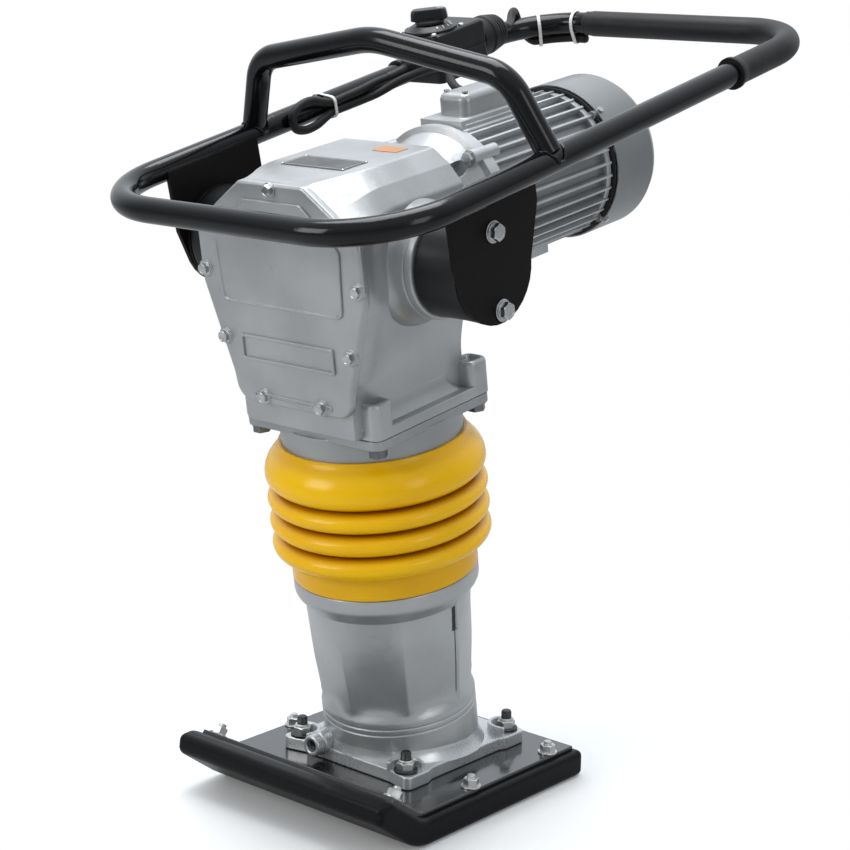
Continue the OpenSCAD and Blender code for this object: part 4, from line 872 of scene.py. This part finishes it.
# Foot bolts: studs with flanged nuts on the leg's flange, and bolts through the sole with sunk heads
studSize = {"washer": (13.2, 6, 3), "nut": (10.5, 8, 6), "thread": (6, 2, 23, 1.75), "turn": 0.4,
            "lift": 3, "crown": 10.8, "crownPoints": [(6, 0), (8.6, 0), (8.2, 2.3), (7.2, 3.2), (6, 3.2)]}
soleBolt = {"washer": (11, 5, 2), "nut": (8.75, 8, 5), "thread": (5, 1, 14), "turn": 0.7,
            "head": [(4.9, -23), (11, -23), (11, -28), (10, -29), (2, -29)], "sideX": 134, "sideY": (-43, 93),
            "toeX": 131, "toeRun": 31}


def makeFootBolts():
    studs, nuts, washers, soleParts = [], [], [], []
    size = studSize
    for sx, sy in corners:
        place = at(sx * legSize["boltX"], sy * legSize["boltY"], legSize["plateTop"] + legSize["flange"])
        turned = place @ at(0, 0, size["lift"]) @ Matrix.Rotation(size["turn"] * sx, 4, "Z")
        washers.append(moved(washer(*size["washer"]), place))
        nuts.append(moved(hexagon(*size["nut"]), turned))
        nuts.append(moved(lathe(size["crownPoints"], steps=48, closed=True), place @ at(0, 0, size["crown"])))
        studs.append(moved(thread(*size["thread"]), place))
    piece("leg_washer_set", joined(washers), darkSteel, "foot", "leg_washers")
    piece("leg_nut_set", joined(nuts), nutZinc, "foot", "leg_nuts")
    piece("leg_stud_set", joined(studs), darkSteel, "foot", "leg_studs")
    size = soleBolt
    top = soleSize["slab"] + soleSize["plate"]
    toe = toePoint(top, 1, size["toeRun"])
    places = [at(sx * size["sideX"], y, top) for sx in (-1, 1) for y in size["sideY"]]
    places += [at(sx * size["toeX"], *toe) @ spin(-soleSize["turn"], "X") for sx in (-1, 1)]
    for i, place in enumerate(places):
        soleParts += fastener(place, size["washer"], size["nut"], size["turn"] * i)
        soleParts += [moved(thread(*size["thread"]), place), moved(lathe(size["head"], steps=32), place)]
    piece("sole_bolt_set", joined(soleParts), nutZinc, "foot", "sole_bolts")


makeFootBolts()
print("stage: foot bolts")


# Crankcase casting: a body lofted from the front flange, a rear block, a flared base and its corner pillars
caseSize = {"front": -104, "flange": 12, "loftEnd": -38, "back": 66, "rear": 88, "base": 451,
            "mid": -2.5, "baseX": 97, "baseV": 92.5, "baseTop": 463, "radii": [9, 9, 12, 90, 90, 4],
            "rearHalf": (74, 97), "rearW": 612, "rearFrom": 60, "rearRadius": 60}
faceHalf = [(46, 718), (80, 693), (115, 667), (115, 606), (79, 497), (79, 452)]
bodyHalf = [(63, 720), (84, 704), (101, 684), (101, 606), (79, 510), (79, 452)]
pillarSize = {"x": 81.3, "v": 76.8, "half": 15.6, "radius": 10,
              "levels": ((0, 452), (0, 486), (0.7, 488.6), (2.2, 490.2), (4.4, 490.6), (5.4, 489.6),
                         (6.2, 486), (8, 485.4))}


def caseOutline(share):
    radii = caseSize["radii"]
    half = [(a[0] + (b[0] - a[0]) * share, a[1] + (b[1] - a[1]) * share) for a, b in zip(faceHalf, bodyHalf)]
    return rounded(bothSides(half), radii + radii[::-1])


def makeCase():
    size = caseSize
    front, flange = size["front"], size["flange"]
    places = [(front - 2.5, 0), (front + flange - 4, 0)]
    for i in range(1, 9):
        t = i / 8
        places.append((front + flange + 3 + (size["loftEnd"] - front - 15) * t, sin(t * pi / 2) ** 0.75))
    places.append((size["back"], 1))
    return stack([(shrunk(caseOutline(share), 2 if v < front else 0.6 * (1 - share)), v)
                  for v, share in places], "v")


def makeBaseSkirt():
    return stack([(roundBox(79.5 + 7 * grow, 62 + 18 * grow, 9 + 4 * grow, (0, -18)), 462.2 + 20 * t)
                  for t, grow in flare(1.3)])


def makePillars():
    size = pillarSize
    parts = []
    for sx, sy in corners:
        middle = (sx * size["x"], caseSize["mid"] + sy * size["v"])
        block = roundBox(size["half"], size["half"], size["radius"], middle)
        parts.append(stack([(shrunk(block, inward), height) for inward, height in size["levels"]]))
    return joined(parts)


# The same turned part at both ends of the trunnion's axis
mountPlace = (-5.39, 620.98)


def bothEnds(profile):
    return joined([lathe([(r, side * x) for r, x in profile], "x", mountPlace) for side in (-1, 1)])


rearBlock = prism(roundBox(*caseSize["rearHalf"], caseSize["rearRadius"], (0, caseSize["rearW"]), 12),
                  caseSize["rearFrom"], caseSize["rear"], "v")
basePlate = prism(roundBox(caseSize["baseX"], caseSize["baseV"], 13, (0, caseSize["mid"]), 8),
                  caseSize["base"] + 0.1, caseSize["baseTop"])
bossPoints = [(70, 84), (67, 96), (62, 102), (59, 106), (57.5, 111), (57, 116), (57, 121.4), (56.2, 122),
              (56.2, 123.6), (57, 124.2), (57, 130.8), (56.2, 132.4), (54.8, 133), (20, 133)]
piece("crankcase_casting", joined([makeCase(), rearBlock, makeBaseSkirt()]), castSilver, "upper",
      "crankcase", bevel=3.2, segments=4, limit=38)
piece("crankcase_base", basePlate, castSilver, "upper", bevel=1.8, limit=40)
piece("crankcase_pillars", makePillars(), castSilver, "upper", sharp=50)
piece("crankcase_bosses", bothEnds(bossPoints), castSilver, "upper", sharp=50)
print("stage: crankcase")


# Front cover with a raised panel in a frame, two smaller frames and seven bolts, six of them on seats
coverSize = {"back": -103.9, "front": -112.8, "panel": 2.5, "edge": 3.4, "radii": [12, 12, 14, 60, 60, 20]}
coverHalf = [(45, 717), (79.5, 692), (114, 666), (114, 606), (84, 508), (80, 478)]
panelHalf = [(41, 699), (88, 655), (84, 586)]
panelInnerHalf = [(39.6, 696), (85.4, 653.5), (81.4, 588.6)]
smallFrames = [{"w": 539, "outer": (66, 14), "inner": (62.6, 10.8), "radius": 2, "proud": 2.5},
               {"w": 487, "outer": (56, 3.4), "inner": (53.4, 1.4), "radius": 1, "proud": 1.2}]
boltPlaces = [(0, 711), (107, 618), (-107, 618), (88.5, 547), (-88.5, 547), (41, 486.5), (-41, 486.5)]
coverBolt = {"washer": (7.6, 4, 1.5), "head": (6.4, 5.4), "turn": 0.5, "shank": [(4, -20), (4, 1)],
             "seat": [(9.6, -3), (9.6, 0.1), (9.2, 0.5), (8.6, 0.6), (4, 0.6)]}


def makeCover():
    size = coverSize
    front = size["front"]
    outline = rounded(bothSides(coverHalf), size["radii"] + size["radii"][::-1], 8)
    plate = slab(outline, size["back"], front, size["edge"], "v", 8)
    piece("cover_plate", plate, castSilver, "upper", "front_cover", sharp=60)
    outer, inner = rounded(bothSides(panelHalf), 8), rounded(bothSides(panelInnerHalf), 6.5)
    parts = [prism(outer, front - 1.3, front + 1, "v"),
             frameBand(outer, inner, front + 1, front - size["panel"], "v")]
    for frameSize in smallFrames:
        middle = (0, frameSize["w"])
        outer = roundBox(*frameSize["outer"], 3, middle, 3)
        inner = roundBox(*frameSize["inner"], frameSize["radius"], middle, 3)
        parts.append(frameBand(outer, inner, front + 1, front - frameSize["proud"], "v"))
    piece("cover_panels", joined(parts), castSilver, "upper", bevel=0.8, limit=40)
    places = [at(x, front, w) @ faceFront for x, w in boltPlaces]
    piece("cover_bolt_set", boltSet(coverBolt, places), zinc, "upper", "cover_bolts")
    seats = [moved(lathe(coverBolt["seat"], steps=40), place) for place in places[1:]]
    piece("cover_seats", joined(seats), castSilver, "upper", sharp=50)


makeCover()
print("stage: front cover")


# Bare plates on the crankcase: a dark one with a raised border and rivets, and a small orange one
plateSize = {"middle": (1, -32.5), "x": 44, "v": 19.5, "low": 720, "high": 720.6, "orange": (17, 10),
             "orangeMiddle": (27, 40), "orangeHigh": 720.5}


def makePlates():
    size = plateSize
    middle, x, v, low, high = (size[key] for key in ("middle", "x", "v", "low", "high"))
    piece("rating_plate", prism(roundBox(x, v, 2.2, middle, 4), low, high), plateDark, "upper",
          "label_plates", bevel=0.2, segments=2)
    rim, core = roundBox(x - 2.6, v - 2.6, 1.6, middle, 4), roundBox(x - 3.6, v - 3.6, 1.2, middle, 4)
    piece("rating_plate_border", frameBand(rim, core, high - 0.1, high + 0.15), plateRim, "upper")
    rivet = [(1.5, high - 0.1), (1.4, high + 0.4), (0.9, high + 0.75), (0.3, high + 0.85)]
    rivets = [lathe(rivet, middle=(middle[0] + sx * (x - 1.9), middle[1] + sy * (v - 1.9)), steps=20)
              for sx, sy in corners]
    piece("rating_plate_rivets", joined(rivets), zinc, "upper")
    orange = prism(roundBox(*size["orange"], 2, size["orangeMiddle"], 4), low, size["orangeHigh"])
    piece("orange_plate", orange, labelOrange, "upper", bevel=0.2, segments=2)


makePlates()
print("stage: plates")


# Terminal box: a cast tub with a domed lid on three ledges, a gland, and a black ring behind the fan cover,
# which paints shade into the gap there
boxSize = {"half": (21.4, 47.4), "middle": (0, 221), "radius": 11, "low": 724, "top": 750, "dome": 8.5}
ledgeSizes = [{"half": (34, 62), "v": 214, "radius": 12, "low": 700, "top": 716, "edge": 2.4},
              {"half": (31, 58), "v": 214, "radius": 11, "low": 715, "top": 721, "edge": 2},
              {"half": (27, 54), "v": 218, "radius": 11, "low": 720, "top": 726, "edge": 2}]
glandPoints = [(5.4, -22), (9.5, -22), (9.5, -26), (8.6, -27), (8.6, -29.4), (7.4, -31), (5.4, -31)]
gapShadePoints = [(58, 347), (87.4, 347), (87.4, 349), (58, 349)]
motorMiddle = (0, 635)
tub = slab(roundBox(*boxSize["half"], boxSize["radius"], boxSize["middle"], 8), boxSize["low"],
           boxSize["top"], boxSize["dome"], steps=10)
ledges = [slab(roundBox(*ledge["half"], ledge["radius"], (0, ledge["v"])), ledge["low"], ledge["top"],
               ledge["edge"]) for ledge in ledgeSizes]
piece("terminal_tub", tub, castSilver, "upper", "terminal_box", "terminal_lid", sharp=50)
piece("terminal_ledges", joined(ledges), castSilver, "upper", sharp=50)
piece("terminal_gland", lathe(glandPoints, "x", leadSize["gland"], 40, closed=True), caseBlack, "upper",
      sharp=40)
# Painted shade: a black ring that closes the gap behind the fan cover
piece("fan_gap_shade", lathe(gapShadePoints, "v", motorMiddle, closed=True), fanBlack, "upper", sharp=50)
print("stage: terminal box")


# Rubber mounts with a soft waist between their plates, and the bolts of the side brackets
mountPoints = [(30, 133.1), (51.5, 133.1), (53.2, 134.2), (53.5, 137), (53.1, 143), (52.7, 156), (52.9, 170),
               (53.3, 180), (53.5, 184), (53, 186.6), (51, 187.6), (30, 187.7)]
piece("mount_rubbers", bothEnds(mountPoints), mountRubber, "upper", "rubber_mounts", sharp=50)
bracketBolt = {"x": 197, "u": -14, "t": 6, "apart": 41, "under": (11.5, 5, 2), "washer": (9.8, 5, 1.6),
               "head": (9.2, 6.2), "turn": 0.35, "shank": [(5, -9), (5, 1)]}


def makeBracketBolts():
    size = bracketBolt
    parts = []
    for side, up in corners:
        place = at(side * size["x"], size["u"], size["t"] + up * size["apart"]) @ spin(90 * side, "Y")
        parts.append(moved(washer(*size["under"]), place))
        parts += fastener(place @ at(0, 0, size["under"][2]), size["washer"], size["head"], size["turn"] + up)
        parts.append(moved(lathe(size["shank"], steps=24), place))
    piece("bracket_bolt_set", joined(parts), zinc, "handle", "bracket_bolts")


makeBracketBolts()
print("stage: mounts")


# Lifting hoop, with a weld bead round its foot on each rail
hoopSize = {"u": 75, "lean": 6, "shoulderX": 172, "shoulderT": 88, "peakT": 119, "shoulderR": 44,
            "peakR": 120}
beadSize = {"x": 14.6, "u": 14.2, "tube": 14, "radius": 1.7, "wobble": 0.35, "shift": 0.4, "sink": 0.98}


def makeHoop():
    size = hoopSize
    foot = Vector((railX, handleSize["tube"] * 0.6))
    shoulder = Vector((size["shoulderX"], size["shoulderT"]))
    peak = Vector((0, size["peakT"]))
    mirror = Vector((-1, 1))
    line = [foot] + fillet(foot, shoulder, peak, size["shoulderR"], 16)
    line += fillet(shoulder, peak, shoulder * mirror, size["peakR"], 12)
    line += fillet(peak, shoulder * mirror, foot * mirror, size["shoulderR"], 16) + [foot * mirror]
    tube = sweep([(p.x, 0, p.y) for p in line], handleSize["tube"], 40, (1, 0, 0))
    return moved(tube, at(0, size["u"], railT) @ spin(size["lean"], "X"))


def makeBeads():
    size = beadSize
    beads = []
    for side in (-1, 1):
        ring = []
        for a in turns(48):
            dx = size["x"] * cos(a)
            u = hoopSize["u"] + size["u"] * sin(a) + size["shift"]
            drop = sqrt(max(0, size["tube"] ** 2 - dx * dx)) * size["sink"]
            ring.append((side * railX + dx, u, railT + drop + size["wobble"] * sin(9 * a)))
        beads.append(sweep(ring + [ring[0]], size["radius"], 10))
    return joined(beads)


piece("hoop_tube", makeHoop(), tubeBlack, "handle", "lifting_hoop", sharp=50)
piece("hoop_welds", makeBeads(), tubeBlack, "handle", sharp=60)


# Grip sleeve: a rubber hose on the right rail, the bend and the rear bar, with a lip at its front end
gripSize = {"start": 405, "end": -118, "radius": 15.7, "lip": [17, 18.2, 18.2, 16.5], "tail": [14.8, 14.8]}


def makeGrip():
    start = gripSize["start"]
    rearU = handleSize["rearU"]
    line = [(railX, start), (railX, start + 0.6)] + [(railX, start + 5 * i) for i in range(1, 19)]
    line += arc((bendX, bendU), handleSize["rearBend"], 3, 90, 29)
    line += [(bendX - 6 * i, rearU) for i in range(1, 40)] + [(gripSize["end"], rearU)]
    lip, tail = gripSize["lip"], gripSize["tail"]
    radii = lip + [gripSize["radius"]] * (len(line) - len(lip) - len(tail)) + tail
    return sweep([(x, u, railT) for x, u in line], radii, 40)


piece("grip_hose", makeGrip(), gripRubber, "handle", "grip_sleeve", sharp=50)
print("stage: hoop and grip")


# Switch: a box with a seam and a light rim, clamped to the rail, with a dial, a knob and a cable boot
switchSize = {"x": -160, "front": 307, "length": 92, "width": 66, "radius": 8,
              "levels": ((3, 88), (0.8, 89), (0, 92), (0, 112), (0, 117.5), (1.4, 118), (1.4, 119.4),
                         (0.4, 120), (0.4, 141), (1.2, 144), (3.2, 145.6), (4.5, 146))}
clampSize = {"outer": 17.2, "inner": 13.7, "low": 319, "high": 363, "edgeX": -193.4, "edgeT": 108.6}
dialPlace = (switchSize["x"], 335.5)
dialSize = {"ring": [(8, 146), (31, 146), (31, 148.6), (30.2, 149), (29.4, 148.6), (27.4, 148.9), (21, 153),
                     (8, 153)],
            "marks": (22.6, 25.6), "markTop": 153.05, "rim": 21, "slope": 0.63, "step": 20, "thin": 0.55,
            "thick": 0.9, "screw": [(3.4, 145.5), (3.4, 147.6), (2.6, 148.4), (1, 148.6)], "screwX": 26,
            "screwU": 25}
knobSize = {"turn": 35, "half": (22, 9), "radius": 6, "ribs": 24, "rib": 0.012, "stem": [(6, 146), (6, 155)],
            "skirt": [(16, 153.6), (17.2, 154.2), (17.4, 156.6), (16.2, 158.2), (10, 158.6)],
            "levels": ((0.94, 158), (1, 158.8), (0.97, 166), (0.93, 169.2), (0.84, 170.7), (0.6, 171)),
            "mark": [(10, 0, 170.9), (19, 0, 170.2)], "markRadius": 0.9}
bootSize = {"place": (-155, 399, 117), "root": 24, "rings": 4, "pitch": 5.2, "from": 27,
            "low": [(5.1, 0.2), (22, 0.2), (24, 1.5), (24, 16), (22.6, 17.4), (22.6, 20.4), (24, 21.8),
                    (24, 27)],
            "ring": [(0, 0.6), (0.4, 3.2), (2, 3.8), (2, 4.9)],
            "high": [(18.5, 49), (14, 54), (9, 58.5), (7.2, 60), (5.1, 60)]}


def switchBody():
    size = switchSize
    middle = (size["x"], size["front"] + size["length"] / 2)
    levels = []
    for inward, height in size["levels"]:
        x, u = size["width"] / 2 - inward, size["length"] / 2 - inward
        levels.append((roundBox(x, u, size["radius"] - inward * 0.4, middle, 8), height))
    return stack(levels)


def switchClamp():
    size = clampSize
    middle = (-railX, railT)
    outline = arc(middle, size["outer"], 180, 70, 11)
    outline += [(size["edgeX"], size["edgeT"]), (size["edgeX"], railT)]
    outline += arc(middle, size["inner"], 0, 180, 18)
    return prism(outline, size["low"], size["high"], "v")


def dialMarks():
    size = dialSize
    marks = []
    for k in range(-6, 7):
        a = radians(90 + size["step"] * k)
        ends = [(*circle(r, a, dialPlace), size["markTop"] - (r - size["rim"]) * size["slope"])
                for r in size["marks"]]
        marks.append(sweep(ends, size["thin"] if k % 3 else size["thick"], 8))
    return joined(marks)


def knobShape():
    size = knobSize
    x, y = size["half"]
    bar = stack([(roundBox(x * grow, y * grow, size["radius"] * grow, count=8), height)
                 for grow, height in size["levels"]])
    skirt = lathe(size["skirt"], steps=64, shape=lambda a, h: 1 + size["rib"] * cos(size["ribs"] * a))
    return joined([moved(bar, spin(size["turn"], "Z")), skirt, lathe(size["stem"], steps=32)])


def bootShape():
    size = bootSize
    profile = list(size["low"])
    for i in range(size["rings"]):
        radius, low = size["root"] - i, size["from"] + size["pitch"] * i
        profile += [(radius - inward, low + up) for inward, up in size["ring"]]
    return lathe([(r, -z) for r, z in profile + size["high"]], steps=64, closed=True)


piece("switch_case", switchBody(), caseBlack, "handle", "switch_housing", sharp=34)
piece("switch_clamp", switchClamp(), caseBlack, "handle", bevel=0.8)
piece("dial_ring", lathe(dialSize["ring"], middle=dialPlace, closed=True), knobBlack, "handle",
      "switch_dial", sharp=28)
piece("dial_marks", dialMarks(), nylonWhite, "handle")
dialScrews = [lathe(dialSize["screw"], steps=24, middle=(dialPlace[0] + sx * dialSize["screwX"],
                                                         dialPlace[1] + sy * dialSize["screwU"]))
              for sx, sy in corners]
piece("dial_screws", joined(dialScrews), zinc, "handle", sharp=50)
onDial = at(*dialPlace, 0)
piece("knob_grip", moved(knobShape(), onDial), knobBlack, "knob", "switch_knob", sharp=40)
knobMark = sweep(knobSize["mark"], knobSize["markRadius"], 8)
piece("knob_mark", moved(knobMark, onDial @ spin(knobSize["turn"], "Z")), nylonWhite, "knob")
boot = moved(bootShape(), at(*bootSize["place"]) @ faceFront)
piece("cable_boot_sleeve", boot, gripRubber, "handle", "cable_boot", sharp=40)
print("stage: switch")


# The zip ties of the CAD stay, with small locks added
tieSize = {"u": 182, "drop": 15.2, "angles": (48, 80), "out": 15.6, "half": (1.5, 2.6), "long": 2.4}
tieSpots = [at(-railX, tieSize["u"], railT - tieSize["drop"]) @ spin(90, "Y")]
tieSpots += [at(*cornerPoint(angle, tieSize["out"])) @ spin(-angle, "Z") for angle in tieSize["angles"]]
lock = prism(roundBox(*tieSize["half"], 0.6, count=3), -tieSize["long"], tieSize["long"])
piece("tie_locks", joined([moved(lock, place) for place in tieSpots]), nylonWhite, "handle", bevel=0.3,
      segments=2)
print("stage: ties")


# Floor: grey to reflections, and white to the camera at some distance from the foot
floorLook = {"half": 14, "under": 0.0004, "grain": 240, "near": 0.2, "far": 0.5, "rough": 0.6,
             "dim": (0.42, 0.42, 0.42), "pale": (0.88, 0.88, 0.88), "paler": (0.91, 0.91, 0.91), "glow": 0.06}


def makeFloor():
    look = floorLook
    mesh = bpy.data.meshes.new("floor")
    work = bmesh.new()
    bmesh.ops.create_grid(work, x_segments=8, y_segments=8, size=look["half"])
    work.to_mesh(mesh)
    work.free()
    floor = added("floor", mesh)
    floor.location = (0, 0, -look["under"])
    paint = Paint("floor_paint")
    away = paint.node("ShaderNodeVectorMath", {"operation": "LENGTH"}, {0: paint.place}, "Value")
    glow = paint.node("ShaderNodeEmission", {}, {"Color": (1, 1, 1), "Strength": 1})
    seen = paint.node("ShaderNodeLightPath", {}, {}, "Is Camera Ray")
    pale = paint.noise(look["grain"]).blend(look["pale"], look["paler"])
    paint.set(Base_Color=seen.blend(look["dim"], pale), Roughness=look["rough"], Emission_Color=(1, 1, 1),
              Emission_Strength=look["glow"])
    white = away.ramp(look["near"], look["far"]) * seen
    painted = Wire(paint, paint.shader.outputs[0])
    mixed = paint.node("ShaderNodeMixShader", {}, {0: white, 1: painted, 2: glow})
    paint.feed(paint.tree.nodes["Material Output"].inputs["Surface"], mixed)
    mesh.materials.append(paint.material)


# Surroundings: a sky that is brightest above and behind, dim in front, and white to the camera
skyLook = {"color": (0.88, 0.94, 1), "dim": 0.11, "mirrored": 0.22,
           "glows": [{"aim": (0, 0, 1), "low": -0.15, "high": 0.9, "strength": 0.62},
                     {"aim": (-0.55, 0.7, 0.45), "low": 0.15, "high": 0.95, "strength": 0.75}]}


def makeWorld():
    look = skyLook
    made = bpy.data.worlds.new("studio")
    made.use_nodes = True
    made.node_tree.nodes.clear()
    sky = Graph(made.node_tree)
    way = sky.node("ShaderNodeTexCoord", {}, {}, "Generated")
    over, behind = [sky.dot(way, glow["aim"]).ramp(glow["low"], glow["high"], glow["strength"])
                    for glow in look["glows"]]
    strength = over + behind + look["dim"]
    soft = sky.node("ShaderNodeBackground", {}, {"Color": look["color"], "Strength": strength})
    white = sky.node("ShaderNodeBackground", {}, {"Color": (1, 1, 1), "Strength": 1})
    camera, glossy, through = [sky.node("ShaderNodeLightPath", {}, {}, f"Is {ray} Ray")
                               for ray in ("Camera", "Glossy", "Transmission")]
    seen = sky.math("ADD", camera, (glossy + through) * look["mirrored"], use_clamp=True)
    mixed = sky.node("ShaderNodeMixShader", {}, {0: seen, 1: soft, 2: white})
    sky.node("ShaderNodeOutputWorld", {}, {0: mixed})
    scene.world = made


def makeLight(name, place, aim, size, power, color):
    data = bpy.data.lights.new(name, "AREA")
    data.shape = "RECTANGLE"
    data.size, data.size_y = size
    data.energy = power
    data.color = color
    light = added(name, data)
    light.location = place
    light.rotation_euler = (Vector(aim) - Vector(place)).to_track_quat("-Z", "Y").to_euler()


makeFloor()
makeWorld()
makeLight("sky", (-0.3, 0.1, 2.6), (0, 0, 0.3), (1.5, 1.5), 46, (0.97, 0.99, 1))
makeLight("front", (-0.9, -2.4, 1.4), (0, 0, 0.45), (1.2, 1.2), 24, (1, 0.99, 0.97))
makeLight("side", (2.6, -0.4, 1.3), (0, 0.1, 0.5), (0.8, 1.4), 9, (1, 0.99, 0.97))
scene.view_settings.view_transform = "Standard"
print("stage: light")
